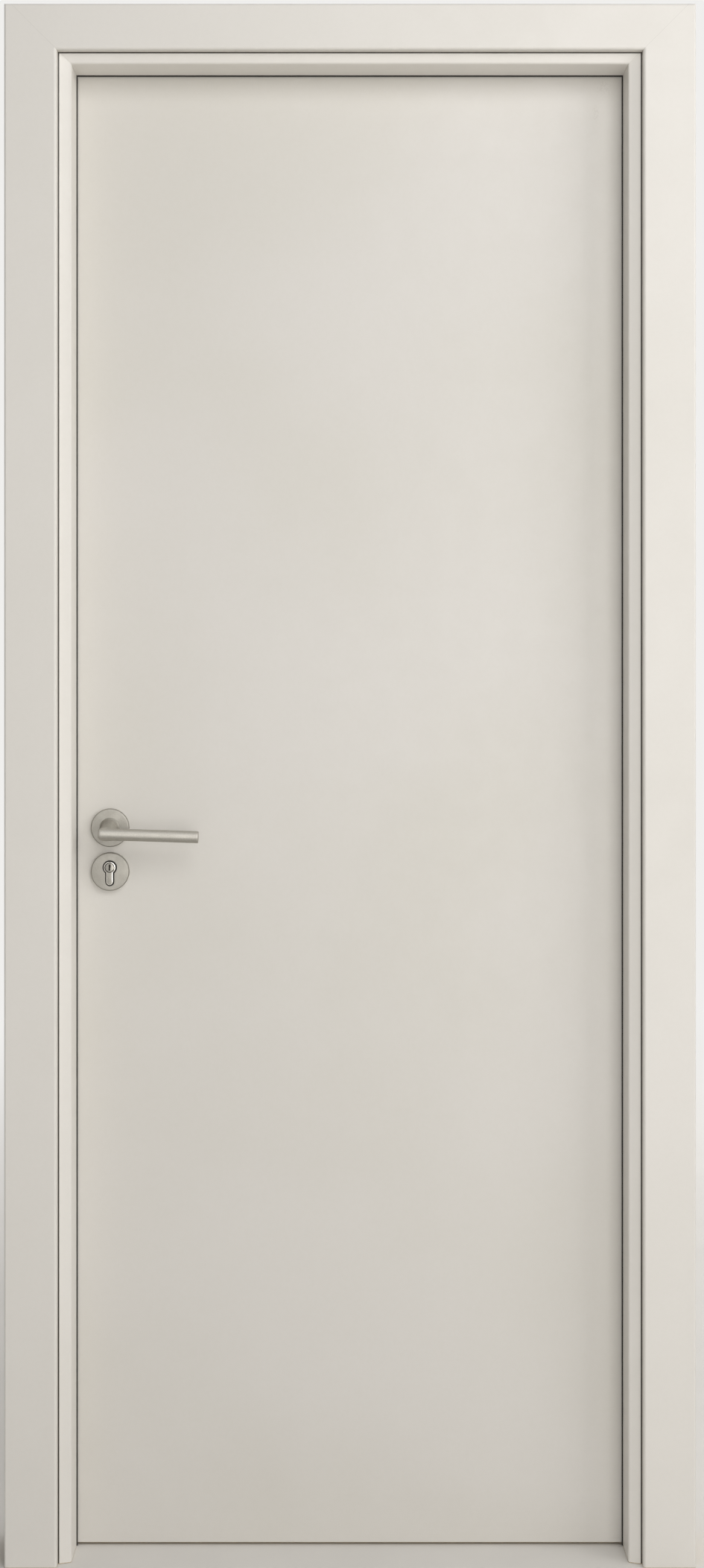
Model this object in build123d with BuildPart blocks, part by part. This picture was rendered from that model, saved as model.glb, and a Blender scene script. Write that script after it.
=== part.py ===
from build123d import *
import math
import os

# Interior door set: a flush composite leaf in a rebated jamb with flat casings, a lever and a profile cylinder.
# The frame: +Z up from the floor, the front faces -Y, the leaf opens towards +Y on hinges at its +X edge.
# The origin lies on the wall face of the hinge jamb, at floor level, level with the front of the jamb.

# Opening and jamb section, measured outward from the stop face and back from the front of the jamb
stop_opening_width = 761.0
stop_opening_height = 2047.5
jamb_depth = 102.0
jamb_thickness = 39.5
stop_depth = 57.0
rebate_step = 14.5
stop_front_radius = 2.5
stop_back_radius = 0.6
jamb_back_radius = 1.0

# Leaf
leaf_thickness = 42.0
skin_thickness = 3.0
leaf_edge_chamfer = 0.8
hinge_gap = 5.0
lock_gap = 6.5
head_gap = 5.0
floor_gap = 3.0
lock_stile_width = 110.0
hinge_stile_width = 60.0
top_rail_height = 70.0
bottom_rail_height = 90.0

# Casings on both faces of the wall, with a tongue that slides into the jamb
casing_thickness = 12.0
casing_side_width = 71.5
casing_head_width = 62.5
casing_outer_radius = 3.0
casing_inner_radius = 4.0
front_margin_side = 18.0
front_margin_head = 15.0
back_margin = 8.0
tongue_thickness = 4.0
tongue_clearance = 0.25
front_tongue_centre = 26.0
front_tongue_length = 14.0
back_tongue_centre = 30.0
back_tongue_length = 10.0
groove_end_clearance = 1.0

# Weather and sound seal in the back of the stop
seal_groove_start = 3.0
seal_groove_width = 4.0
seal_groove_depth = 6.5
seal_stem_clearance = 0.2
seal_lip_inner = -1.6
seal_lip_outer = 8.0
seal_lip_thickness = 2.7
seal_lip_radius = 1.1

# Butt hinges
hinge_height = 100.0
hinge_plate_width = 30.0
hinge_plate_thickness = 2.5
knuckle_radius = 7.0
knuckle_count = 5
knuckle_gap = 0.4
pin_radius = 4.0
pin_clearance = 0.05
pin_head_radius = 6.4
pin_head_height = 3.5
top_hinge_drop = 220.0
bottom_hinge_rise = 250.0

# Lock, strike and cylinder
backset = 55.0
spindle_height = 1000.0
cylinder_drop = 55.0
spindle_size = 8.0
spindle_length = 102.0
spindle_hole_radius = 10.5
case_depth = 85.0
case_thickness = 14.0
case_top_margin = 20.5
case_bottom_margin = 35.5
case_clearance = 0.3
follower_hole_radius = 6.2
faceplate_width = 20.0
faceplate_overhang = 32.5
faceplate_thickness = 3.0
latch_above_spindle = 26.0
latch_thickness = 12.0
latch_rise = 17.0
latch_length = 30.0
latch_proud = 2.0
deadbolt_above_cylinder = 3.0
deadbolt_thickness = 10.0
deadbolt_rise = 26.0
deadbolt_length = 35.0
bolt_clearance = 0.25
strike_width = 24.0
strike_end_margin = 38.0
strike_thickness = 2.0
strike_window_clearance = 1.5
strike_pocket_depth = 12.0
cylinder_head_radius = 8.5
cylinder_stem_width = 10.0
cylinder_total_height = 33.0
cylinder_proud = 3.0
cylinder_clearance = 0.3
plug_radius = 6.5
plug_length = 30.0
plug_clearance = 0.05
keyway_width = 2.2
keyway_height = 8.5
keyway_depth = 22.0

# Roses and lever
rose_radius = 26.5
rose_thickness = 9.0
rose_edge_chamfer = 1.2
rose_below_plug = 6.0
spigot_radius = 9.93
spigot_clearance = 0.07
lever_running_gap = 0.3
socket_clearance = 0.1
lever_standoff = 50.0
lever_reach = 126.0
lever_overhang = 11.0
lever_bar_radius = 8.2
lever_end_chamfer = 2.0
lever_tip_chamfer = 0.6
lever_drop = 5.5
lever_droop_angle = 1.8
neck_root_radius = 11.6
neck_bar_radius = 8.0
flare_radius = 14.5
flare_length = 7.0

# Derived places
rebate_thickness = jamb_thickness - rebate_step
hinge_stop_x = -jamb_thickness
lock_stop_x = hinge_stop_x - stop_opening_width
middle_x = (hinge_stop_x + lock_stop_x) / 2
jamb_half_width = stop_opening_width / 2 + jamb_thickness
jamb_height = stop_opening_height + jamb_thickness

leaf_front = jamb_depth - leaf_thickness
leaf_back = jamb_depth
leaf_middle = (leaf_front + leaf_back) / 2
leaf_hinge_edge = hinge_stop_x + rebate_step - hinge_gap
leaf_lock_edge = lock_stop_x - rebate_step + lock_gap
leaf_width = leaf_hinge_edge - leaf_lock_edge
leaf_bottom = floor_gap
leaf_top = stop_opening_height + rebate_step - head_gap
leaf_height = leaf_top - leaf_bottom

hinge_rebate_x = hinge_stop_x + rebate_step
lock_rebate_x = lock_stop_x - rebate_step
hinge_axis_x = hinge_rebate_x - hinge_gap / 2
hinge_axis_y = leaf_back + knuckle_radius
top_hinge_z = leaf_top - top_hinge_drop
bottom_hinge_z = leaf_bottom + bottom_hinge_rise
hinge_places = {
    "top": top_hinge_z,
    "middle": (top_hinge_z + bottom_hinge_z) / 2,
    "bottom": bottom_hinge_z,
}

spindle_x = leaf_lock_edge + backset
cylinder_z = spindle_height - cylinder_drop
rose_front = leaf_front - rose_thickness
cylinder_rose_z = cylinder_z - rose_below_plug
latch_z = spindle_height + latch_above_spindle
deadbolt_z = cylinder_z + deadbolt_above_cylinder
case_top = latch_z + latch_rise / 2 + case_top_margin
case_bottom = cylinder_z + cylinder_head_radius - cylinder_total_height - case_bottom_margin
case_height = case_top - case_bottom
case_z = (case_top + case_bottom) / 2
faceplate_height = case_height + 2 * faceplate_overhang
strike_top = latch_z + latch_rise / 2 + strike_end_margin
strike_bottom = deadbolt_z - deadbolt_rise / 2 - strike_end_margin
strike_height = strike_top - strike_bottom

# Profile planes: local x runs outward from the stop face, local y runs back through the wall
hinge_side_plane = Plane(origin=(hinge_stop_x, 0, 0), x_dir=(1, 0, 0), z_dir=(0, 0, 1))
lock_side_plane = Plane(origin=(lock_stop_x, 0, 0), x_dir=(-1, 0, 0), z_dir=(0, 0, -1))
head_plane = Plane(origin=(middle_x, 0, stop_opening_height), x_dir=(0, 0, 1), z_dir=(-1, 0, 0))

# Leaf mid-plane, about which the two faces of the lock furniture mirror
leaf_mid_plane = Plane(origin=(0, leaf_middle, 0), x_dir=(1, 0, 0), z_dir=(0, 1, 0))

os.makedirs("parts", exist_ok=True)


def save(builder, label):
    """Label a finished piece and write it."""
    builder.part.label = label
    export_step(builder.part, f"parts/{label}.step")


def mitre(side, inner, outer):
    """Plane through the inner and outer point of a top corner, its normal towards the head."""
    (inner_half, inner_z), (outer_half, outer_z) = inner, outer
    return Plane(
        origin=(middle_x + side * inner_half, 0, inner_z),
        x_dir=(0, 1, 0),
        z_dir=(-side * (outer_z - inner_z), 0, outer_half - inner_half),
    )


def jamb_profile():
    """Jamb section with its stop, rebate, two casing grooves and the seal groove."""
    Polygon(
        (0, 0),
        (jamb_thickness, 0),
        (jamb_thickness, jamb_depth),
        (rebate_step, jamb_depth),
        (rebate_step, stop_depth),
        (0, stop_depth),
        align=None,
    )
    fillet(vertices().sort_by_distance((0, 0))[0], radius=stop_front_radius)
    fillet(vertices().sort_by_distance((0, stop_depth))[0], radius=stop_back_radius)
    fillet(vertices().sort_by_distance((rebate_step, jamb_depth))[0], radius=jamb_back_radius)
    groove_width = tongue_thickness + 2 * tongue_clearance
    front_groove = front_tongue_length + groove_end_clearance
    back_groove = back_tongue_length + groove_end_clearance
    with Locations((front_tongue_centre, front_groove / 2)):
        Rectangle(groove_width, front_groove, mode=Mode.SUBTRACT)
    with Locations((back_tongue_centre, jamb_depth - back_groove / 2)):
        Rectangle(groove_width, back_groove, mode=Mode.SUBTRACT)
    with Locations((seal_groove_start + seal_groove_width / 2, stop_depth - seal_groove_depth / 2)):
        Rectangle(seal_groove_width, seal_groove_depth, mode=Mode.SUBTRACT)


def casing_profile(inner, outer, face, back):
    """Flat casing with rounded show edges, from its show face to its back against the wall."""
    with Locations(((inner + outer) / 2, (face + back) / 2)):
        Rectangle(outer - inner, casing_thickness)
    fillet(vertices().sort_by_distance((inner, face))[0], radius=casing_inner_radius)
    fillet(vertices().sort_by_distance((outer, face))[0], radius=casing_outer_radius)


def tongue_profile(face, back, centre, length):
    """Tongue on the back of a casing, which slides into the jamb's groove."""
    inward = 1 if back > face else -1
    with Locations((centre, back + inward * length / 2)):
        Rectangle(tongue_thickness, length)


def seal_profile():
    """Seal section: a stem in the stop's groove under a soft lip that the leaf closes on."""
    lip_width = seal_lip_outer - seal_lip_inner
    lip_centre = (seal_lip_outer + seal_lip_inner) / 2
    with Locations((lip_centre, stop_depth + seal_lip_thickness / 2)):
        RectangleRounded(lip_width, seal_lip_thickness, seal_lip_radius)
    stem_length = seal_groove_depth - seal_stem_clearance
    overlap = seal_lip_thickness / 2
    with Locations((seal_groove_start + seal_groove_width / 2, stop_depth + (overlap - stem_length) / 2)):
        Rectangle(seal_groove_width - 2 * seal_stem_clearance, stem_length + overlap)


def cylinder_profile(clearance=0.0):
    """Profile cylinder section: a round head over a narrower stem with a round foot."""
    stem_radius = cylinder_stem_width / 2
    foot = cylinder_total_height - cylinder_head_radius - stem_radius
    Circle(cylinder_head_radius + clearance)
    with Locations((0, -foot / 2)):
        Rectangle(cylinder_stem_width + 2 * clearance, foot)
    with Locations((0, -foot)):
        Circle(stem_radius + clearance)


def facing_plane(x, y, z):
    """Vertical plane that faces the front, with local x along X and local y along Z."""
    return Plane(origin=(x, y, z), x_dir=(1, 0, 0), z_dir=(0, -1, 0))


def hinge_mortise(edge_x, direction, z):
    """Cut the shallow seat of one hinge plate into the edge at edge_x."""
    seat_x = edge_x + direction * hinge_plate_thickness / 2
    with Locations((seat_x, leaf_back - hinge_plate_width / 2, z)):
        Box(hinge_plate_thickness, hinge_plate_width, hinge_height, mode=Mode.SUBTRACT)


# Jambs

jamb_inner = (stop_opening_width / 2, stop_opening_height)
jamb_outer = (jamb_half_width, jamb_height)

with BuildPart() as jamb_hinge_side:
    with BuildSketch(hinge_side_plane):
        jamb_profile()
    extrude(amount=jamb_height)
    split(bisect_by=mitre(1, jamb_inner, jamb_outer), keep=Keep.BOTTOM)
    for hinge_z in hinge_places.values():
        hinge_mortise(hinge_rebate_x, 1, hinge_z)
save(jamb_hinge_side, "jamb_hinge_side")

strike_x = lock_rebate_x - strike_thickness / 2
strike_centre_z = (strike_top + strike_bottom) / 2
pocket_x = lock_rebate_x - strike_thickness - strike_pocket_depth / 2
bolt_windows = {
    "latch": (latch_z, latch_thickness, latch_rise),
    "deadbolt": (deadbolt_z, deadbolt_thickness, deadbolt_rise),
}

with BuildPart() as jamb_lock_side:
    with BuildSketch(lock_side_plane):
        jamb_profile()
    extrude(amount=-jamb_height)
    split(bisect_by=mitre(-1, jamb_inner, jamb_outer), keep=Keep.BOTTOM)
    with Locations((strike_x, leaf_middle, strike_centre_z)):
        Box(strike_thickness, strike_width, strike_height, mode=Mode.SUBTRACT)
    for bolt_z, bolt_thickness, bolt_rise in bolt_windows.values():
        with Locations((pocket_x, leaf_middle, bolt_z)):
            Box(
                strike_pocket_depth,
                bolt_thickness + 2 * strike_window_clearance,
                bolt_rise + 2 * strike_window_clearance,
                mode=Mode.SUBTRACT,
            )
save(jamb_lock_side, "jamb_lock_side")

with BuildPart() as head_jamb:
    with BuildSketch(head_plane):
        jamb_profile()
    extrude(amount=jamb_half_width, both=True)
    for side in (1, -1):
        split(bisect_by=mitre(side, jamb_inner, jamb_outer), keep=Keep.TOP)
save(head_jamb, "head_jamb")

# Strike plate in the lock jamb

with BuildPart() as strike_plate:
    with Locations((strike_x, leaf_middle, strike_centre_z)):
        Box(strike_thickness, strike_width, strike_height)
    for bolt_z, bolt_thickness, bolt_rise in bolt_windows.values():
        with Locations((strike_x, leaf_middle, bolt_z)):
            Box(
                strike_thickness,
                bolt_thickness + 2 * strike_window_clearance,
                bolt_rise + 2 * strike_window_clearance,
                mode=Mode.SUBTRACT,
            )
save(strike_plate, "strike_plate")

# Casings, front and back

casing_outer_side = front_margin_side + casing_side_width
casing_outer_head = front_margin_head + casing_head_width
casing_outer = (stop_opening_width / 2 + casing_outer_side, stop_opening_height + casing_outer_head)
casing_sets = {
    "front": {
        "margins": (front_margin_side, front_margin_head),
        "depths": (-casing_thickness, 0.0),
        "tongue": (front_tongue_centre, front_tongue_length),
    },
    "back": {
        "margins": (rebate_step + back_margin, rebate_step + back_margin),
        "depths": (jamb_depth + casing_thickness, jamb_depth),
        "tongue": (back_tongue_centre, back_tongue_length),
    },
}

for face_name, casing in casing_sets.items():
    side_margin, head_margin = casing["margins"]
    casing_inner = (stop_opening_width / 2 + side_margin, stop_opening_height + head_margin)
    tongue_reach = casing["tongue"][0] - tongue_thickness
    side_places = {"hinge_side": (hinge_side_plane, 1), "lock_side": (lock_side_plane, -1)}
    for side_name, (side_plane, side) in side_places.items():
        with BuildPart() as side_casing:
            with BuildSketch(side_plane):
                casing_profile(side_margin, casing_outer_side, *casing["depths"])
            extrude(amount=side * casing_outer[1])
            split(bisect_by=mitre(side, casing_inner, casing_outer), keep=Keep.BOTTOM)
            with BuildSketch(side_plane):
                tongue_profile(*casing["depths"], *casing["tongue"])
            extrude(amount=side * (stop_opening_height + tongue_reach))
        save(side_casing, f"casing_{face_name}_{side_name}")
    with BuildPart() as head_casing:
        with BuildSketch(head_plane):
            casing_profile(head_margin, casing_outer_head, *casing["depths"])
        extrude(amount=casing_outer[0], both=True)
        for side in (1, -1):
            split(bisect_by=mitre(side, casing_inner, casing_outer), keep=Keep.TOP)
        with BuildSketch(head_plane):
            tongue_profile(*casing["depths"], *casing["tongue"])
        extrude(amount=stop_opening_width / 2 + tongue_reach, both=True)
    save(head_casing, f"casing_{face_name}_head")

# Seals in the back of the stops

seal_corner_out = seal_lip_outer + seal_groove_width
seal_inner = (stop_opening_width / 2, stop_opening_height)
seal_outer = (stop_opening_width / 2 + seal_corner_out, stop_opening_height + seal_corner_out)
seal_places = {
    "hinge_side": (hinge_side_plane, seal_outer[1], 1),
    "lock_side": (lock_side_plane, -seal_outer[1], -1),
}

for side_name, (side_plane, length, side) in seal_places.items():
    with BuildPart() as side_seal:
        with BuildSketch(side_plane):
            seal_profile()
        extrude(amount=length)
        split(bisect_by=mitre(side, seal_inner, seal_outer), keep=Keep.BOTTOM)
    save(side_seal, f"seal_{side_name}")

with BuildPart() as head_seal:
    with BuildSketch(head_plane):
        seal_profile()
    extrude(amount=seal_outer[0], both=True)
    for side in (1, -1):
        split(bisect_by=mitre(side, seal_inner, seal_outer), keep=Keep.TOP)
save(head_seal, "seal_head")

# Leaf: two skins over stiles, rails and a core

leaf_centre_x = (leaf_hinge_edge + leaf_lock_edge) / 2
leaf_centre_z = (leaf_bottom + leaf_top) / 2
inner_thickness = leaf_thickness - 2 * skin_thickness
case_x = leaf_lock_edge + faceplate_thickness + case_depth / 2


spindle_centre_plane = facing_plane(spindle_x, leaf_middle, spindle_height)
cylinder_centre_plane = facing_plane(spindle_x, leaf_middle, cylinder_z)

with BuildSketch(spindle_centre_plane) as spindle_hole:
    Circle(spindle_hole_radius)

with BuildSketch(cylinder_centre_plane) as cylinder_hole:
    cylinder_profile(cylinder_clearance)


def furniture_holes():
    """Cut the spindle hole and the cylinder's profile hole right through, front to back."""
    for hole in (spindle_hole, cylinder_hole):
        extrude(hole.sketch, amount=leaf_thickness, both=True, mode=Mode.SUBTRACT)


for skin_name, skin_y in {
    "leaf_front_skin": leaf_front + skin_thickness / 2,
    "leaf_back_skin": leaf_back - skin_thickness / 2,
}.items():
    with BuildPart() as skin:
        with Locations((leaf_centre_x, skin_y, leaf_centre_z)):
            Box(leaf_width, skin_thickness, leaf_height)
        outer_face = faces().sort_by(Axis.Y)[0 if skin_y < leaf_middle else -1]
        chamfer(outer_face.edges(), length=leaf_edge_chamfer)
        furniture_holes()
        if skin_y > leaf_middle:
            for hinge_z in hinge_places.values():
                hinge_mortise(leaf_hinge_edge, -1, hinge_z)
    save(skin, skin_name)

with BuildPart() as leaf_hinge_stile:
    with Locations((leaf_hinge_edge - hinge_stile_width / 2, leaf_middle, leaf_centre_z)):
        Box(hinge_stile_width, inner_thickness, leaf_height)
    for hinge_z in hinge_places.values():
        hinge_mortise(leaf_hinge_edge, -1, hinge_z)
save(leaf_hinge_stile, "leaf_hinge_stile")

with BuildPart() as leaf_lock_stile:
    with Locations((leaf_lock_edge + lock_stile_width / 2, leaf_middle, leaf_centre_z)):
        Box(lock_stile_width, inner_thickness, leaf_height)
    with Locations((leaf_lock_edge + faceplate_thickness / 2, leaf_middle, case_z)):
        Box(faceplate_thickness, faceplate_width, faceplate_height, mode=Mode.SUBTRACT)
    with Locations((case_x, leaf_middle, case_z)):
        Box(
            case_depth + 2 * case_clearance,
            case_thickness + 2 * case_clearance,
            case_height + 2 * case_clearance,
            mode=Mode.SUBTRACT,
        )
    furniture_holes()
save(leaf_lock_stile, "leaf_lock_stile")

rail_length = leaf_width - lock_stile_width - hinge_stile_width
rail_x = (leaf_hinge_edge - hinge_stile_width + leaf_lock_edge + lock_stile_width) / 2

with BuildPart() as leaf_top_rail:
    with Locations((rail_x, leaf_middle, leaf_top - top_rail_height / 2)):
        Box(rail_length, inner_thickness, top_rail_height)
save(leaf_top_rail, "leaf_top_rail")

with BuildPart() as leaf_bottom_rail:
    with Locations((rail_x, leaf_middle, leaf_bottom + bottom_rail_height / 2)):
        Box(rail_length, inner_thickness, bottom_rail_height)
save(leaf_bottom_rail, "leaf_bottom_rail")

core_bottom = leaf_bottom + bottom_rail_height
core_top = leaf_top - top_rail_height

with BuildPart() as leaf_core:
    with Locations((rail_x, leaf_middle, (core_bottom + core_top) / 2)):
        Box(rail_length, inner_thickness, core_top - core_bottom)
save(leaf_core, "leaf_core")

# Butt hinges: interleaved knuckles on a fixed pin

knuckle_height = (hinge_height - (knuckle_count - 1) * knuckle_gap) / knuckle_count
knuckle_pitch = knuckle_height + knuckle_gap
tab_clearance = 0.5
plate_back = hinge_axis_y - knuckle_radius - tab_clearance
plate_front = leaf_back - hinge_plate_width


def hinge_leaf(plate_x, first_knuckle, z):
    """One half of a hinge: a plate let into its edge, with every second knuckle on the pin's axis."""
    with Locations((plate_x, (plate_front + plate_back) / 2, z)):
        Box(hinge_plate_thickness, plate_back - plate_front, hinge_height)
    own_knuckles = range(first_knuckle, knuckle_count, 2)
    knuckle_z = [z + (i - (knuckle_count - 1) / 2) * knuckle_pitch for i in own_knuckles]
    for centre_z in knuckle_z:
        with Locations((plate_x, (plate_back + hinge_axis_y) / 2, centre_z)):
            Box(hinge_plate_thickness, hinge_axis_y - plate_back, knuckle_height)
        with Locations((hinge_axis_x, hinge_axis_y, centre_z)):
            Cylinder(knuckle_radius, knuckle_height)
    for centre_z in knuckle_z:
        with Locations((hinge_axis_x, hinge_axis_y, centre_z)):
            Cylinder(pin_radius + pin_clearance, knuckle_height, mode=Mode.SUBTRACT)


for place, hinge_z in hinge_places.items():
    with BuildPart() as frame_half:
        hinge_leaf(hinge_rebate_x + hinge_plate_thickness / 2, 0, hinge_z)
    save(frame_half, f"hinge_{place}_frame_plate")

    with BuildPart() as leaf_half:
        hinge_leaf(leaf_hinge_edge - hinge_plate_thickness / 2, 1, hinge_z)
    save(leaf_half, f"hinge_{place}_leaf_plate")

    with BuildPart() as hinge_pin:
        with Locations((hinge_axis_x, hinge_axis_y, hinge_z)):
            Cylinder(pin_radius, hinge_height)
        for end in (1, -1):
            with Locations((hinge_axis_x, hinge_axis_y, hinge_z + end * (hinge_height + pin_head_height) / 2)):
                Cylinder(pin_head_radius, pin_head_height)
    save(hinge_pin, f"hinge_{place}_pin")

# Lock: faceplate, case, latch and deadbolt

faceplate_x = leaf_lock_edge + faceplate_thickness / 2
latch_tip = leaf_lock_edge - latch_proud
latch_x = latch_tip + latch_length / 2
deadbolt_x = leaf_lock_edge + deadbolt_length / 2
bolts = {
    "latch": (latch_x, latch_z, latch_length, latch_thickness, latch_rise),
    "deadbolt": (deadbolt_x, deadbolt_z, deadbolt_length, deadbolt_thickness, deadbolt_rise),
}


def bolt_cavities():
    """Cut the running slots of the latch and the deadbolt."""
    for bolt_x, bolt_z, length, thickness, rise in bolts.values():
        with Locations((bolt_x, leaf_middle, bolt_z)):
            Box(
                length + 2 * bolt_clearance,
                thickness + 2 * bolt_clearance,
                rise + 2 * bolt_clearance,
                mode=Mode.SUBTRACT,
            )


with BuildPart() as lock_faceplate:
    with Locations((faceplate_x, leaf_middle, case_z)):
        Box(faceplate_thickness, faceplate_width, faceplate_height)
    bolt_cavities()
save(lock_faceplate, "lock_faceplate")

with BuildPart() as lock_case:
    with Locations((case_x, leaf_middle, case_z)):
        Box(case_depth, case_thickness, case_height)
    bolt_cavities()
    with BuildSketch(spindle_centre_plane):
        Circle(follower_hole_radius)
    extrude(amount=case_thickness, both=True, mode=Mode.SUBTRACT)
    extrude(cylinder_hole.sketch, amount=case_thickness, both=True, mode=Mode.SUBTRACT)
save(lock_case, "lock_case")

with BuildPart() as latch_bolt:
    with BuildSketch(Plane.XY.offset(latch_z - latch_rise / 2)):
        with BuildLine():
            Polyline(
                (latch_tip, leaf_middle + latch_thickness / 2),
                (latch_tip, leaf_middle + latch_thickness / 6),
                (latch_tip + latch_thickness * 0.6, leaf_middle - latch_thickness / 2),
                (latch_tip + latch_length, leaf_middle - latch_thickness / 2),
                (latch_tip + latch_length, leaf_middle + latch_thickness / 2),
                close=True,
            )
        make_face()
    extrude(amount=latch_rise)
save(latch_bolt, "latch_bolt")

with BuildPart() as deadbolt:
    with Locations((deadbolt_x, leaf_middle, deadbolt_z)):
        Box(deadbolt_length, deadbolt_thickness, deadbolt_rise)
save(deadbolt, "deadbolt")

# Profile cylinder with a plug at each end

cylinder_front = rose_front - cylinder_proud
cylinder_length = 2 * (leaf_middle - cylinder_front)

with BuildPart() as key_cylinder:
    with BuildSketch(cylinder_centre_plane):
        cylinder_profile()
    extrude(amount=cylinder_length / 2, both=True)
    for end_y, direction in ((cylinder_front, -1), (cylinder_front + cylinder_length, 1)):
        with BuildSketch(facing_plane(spindle_x, end_y, cylinder_z)):
            Circle(plug_radius + plug_clearance)
        extrude(amount=direction * plug_length, mode=Mode.SUBTRACT)
save(key_cylinder, "key_cylinder")

with BuildPart() as front_plug:
    with BuildSketch(facing_plane(spindle_x, cylinder_front, cylinder_z)):
        Circle(plug_radius)
    extrude(amount=-plug_length)
    with BuildSketch(facing_plane(spindle_x, cylinder_front, cylinder_z)):
        Rectangle(keyway_width, keyway_height)
    extrude(amount=-keyway_depth, mode=Mode.SUBTRACT)
save(front_plug, "cylinder_plug_front")

with BuildPart() as back_plug:
    mirror(front_plug.part, about=leaf_mid_plane)
save(back_plug, "cylinder_plug_back")

# Roses: one pair round the levers, one pair round the cylinder

with BuildPart() as handle_rose_front:
    with BuildSketch(facing_plane(spindle_x, leaf_front, spindle_height)):
        Circle(rose_radius)
    extrude(amount=rose_thickness)
    chamfer(faces().sort_by(Axis.Y)[0].edges(), length=rose_edge_chamfer)
    with BuildSketch(facing_plane(spindle_x, leaf_front, spindle_height)):
        Circle(spigot_radius + spigot_clearance)
    extrude(amount=rose_thickness, mode=Mode.SUBTRACT)
save(handle_rose_front, "handle_rose_front")

with BuildPart() as cylinder_rose_front:
    with BuildSketch(facing_plane(spindle_x, leaf_front, cylinder_rose_z)):
        Circle(rose_radius)
    extrude(amount=rose_thickness)
    chamfer(faces().sort_by(Axis.Y)[0].edges(), length=rose_edge_chamfer)
    with BuildSketch(facing_plane(spindle_x, leaf_front, cylinder_z)):
        cylinder_profile(cylinder_clearance)
    extrude(amount=rose_thickness, mode=Mode.SUBTRACT)
save(cylinder_rose_front, "cylinder_rose_front")

with BuildPart() as handle_rose_back:
    mirror(handle_rose_front.part, about=leaf_mid_plane)
save(handle_rose_back, "handle_rose_back")

with BuildPart() as cylinder_rose_back:
    mirror(cylinder_rose_front.part, about=leaf_mid_plane)
save(cylinder_rose_back, "cylinder_rose_back")

# Levers: a neck that flares at the rose and slopes down into a straight, slightly drooping round bar

neck_root = rose_front - lever_running_gap
bar_axis = leaf_front - lever_standoff
spigot_end = leaf_front - lever_running_gap
spindle_end = leaf_middle - spindle_length / 2
spindle_front_plane = facing_plane(spindle_x, neck_root, spindle_height)

neck_out = neck_root - bar_axis
neck_plane = Plane(spindle_front_plane.origin, x_dir=(1, 0, 0), z_dir=(0, -neck_out, -lever_drop))
neck_length = math.hypot(neck_out, lever_drop)
bar_length = lever_reach + lever_overhang
droop = math.radians(lever_droop_angle)
bar_start_z = spindle_height - lever_drop + lever_overhang * math.tan(droop)
bar_plane = Plane(
    origin=(spindle_x - lever_overhang, bar_axis, bar_start_z),
    x_dir=(0, 1, 0),
    z_dir=(math.cos(droop), 0, -math.sin(droop)),
)
flare_waist = neck_root_radius - (neck_root_radius - neck_bar_radius) * flare_length / neck_length
from_base = (Align.CENTER, Align.CENTER, Align.MIN)

with BuildPart() as lever_front:
    with Locations(bar_plane):
        Cylinder(lever_bar_radius, bar_length, align=from_base)
    chamfer(faces().sort_by(Axis.X)[-1].edges(), length=lever_tip_chamfer)
    chamfer(faces().sort_by(Axis.X)[0].edges(), length=lever_end_chamfer)
    with Locations(neck_plane):
        Cone(neck_root_radius, neck_bar_radius, neck_length, align=from_base)
    split(bisect_by=spindle_front_plane, keep=Keep.TOP)
    with BuildSketch(Plane(spindle_front_plane.origin, x_dir=(1, 0, 0), z_dir=(0, 0, 1))):
        with BuildLine():
            Polyline((flare_waist, -flare_length), (0, -flare_length), (0, 0), (flare_radius, 0), close=True)
        make_face()
    revolve(axis=Axis((spindle_x, 0, spindle_height), (0, 1, 0)))
    with BuildSketch(facing_plane(spindle_x, spigot_end, spindle_height)):
        Circle(spigot_radius)
    extrude(amount=spigot_end - neck_root)
    with BuildSketch(facing_plane(spindle_x, spigot_end, spindle_height)):
        Rectangle(spindle_size + 2 * socket_clearance, spindle_size + 2 * socket_clearance)
    extrude(amount=spigot_end - spindle_end + lever_running_gap, mode=Mode.SUBTRACT)
save(lever_front, "lever_front")

with BuildPart() as lever_back:
    mirror(lever_front.part, about=leaf_mid_plane)
save(lever_back, "lever_back")

with BuildPart() as spindle:
    with Locations((spindle_x, leaf_middle, spindle_height)):
        Box(spindle_size, spindle_length, spindle_size)
save(spindle, "spindle")
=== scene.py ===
"""Looks for an interior door set: film-covered leaf, jambs and casings, satin lever, roses and lock."""
import logging
import math
from dataclasses import dataclass
from enum import Enum
from typing import Callable, Iterable

import bmesh
import bpy
import numpy as np
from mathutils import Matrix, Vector


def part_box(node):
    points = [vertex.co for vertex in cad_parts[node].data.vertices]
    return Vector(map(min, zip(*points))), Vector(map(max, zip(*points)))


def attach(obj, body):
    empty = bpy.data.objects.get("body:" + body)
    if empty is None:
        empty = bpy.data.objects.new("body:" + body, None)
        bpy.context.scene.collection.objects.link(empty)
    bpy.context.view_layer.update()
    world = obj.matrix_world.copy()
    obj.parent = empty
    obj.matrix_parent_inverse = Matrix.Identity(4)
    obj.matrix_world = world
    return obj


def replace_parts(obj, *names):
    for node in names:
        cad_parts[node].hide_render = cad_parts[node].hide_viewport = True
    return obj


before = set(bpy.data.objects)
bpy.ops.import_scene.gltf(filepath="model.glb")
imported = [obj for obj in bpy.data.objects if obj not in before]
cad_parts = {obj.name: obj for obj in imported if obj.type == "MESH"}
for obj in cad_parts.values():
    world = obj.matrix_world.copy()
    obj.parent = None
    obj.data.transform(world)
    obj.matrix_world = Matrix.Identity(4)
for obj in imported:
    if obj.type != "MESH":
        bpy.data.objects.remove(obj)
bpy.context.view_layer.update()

log = logging.getLogger("door set")

MM = 0.001
# Points nearer than this are one point
WELD = 0.002 * MM
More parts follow.
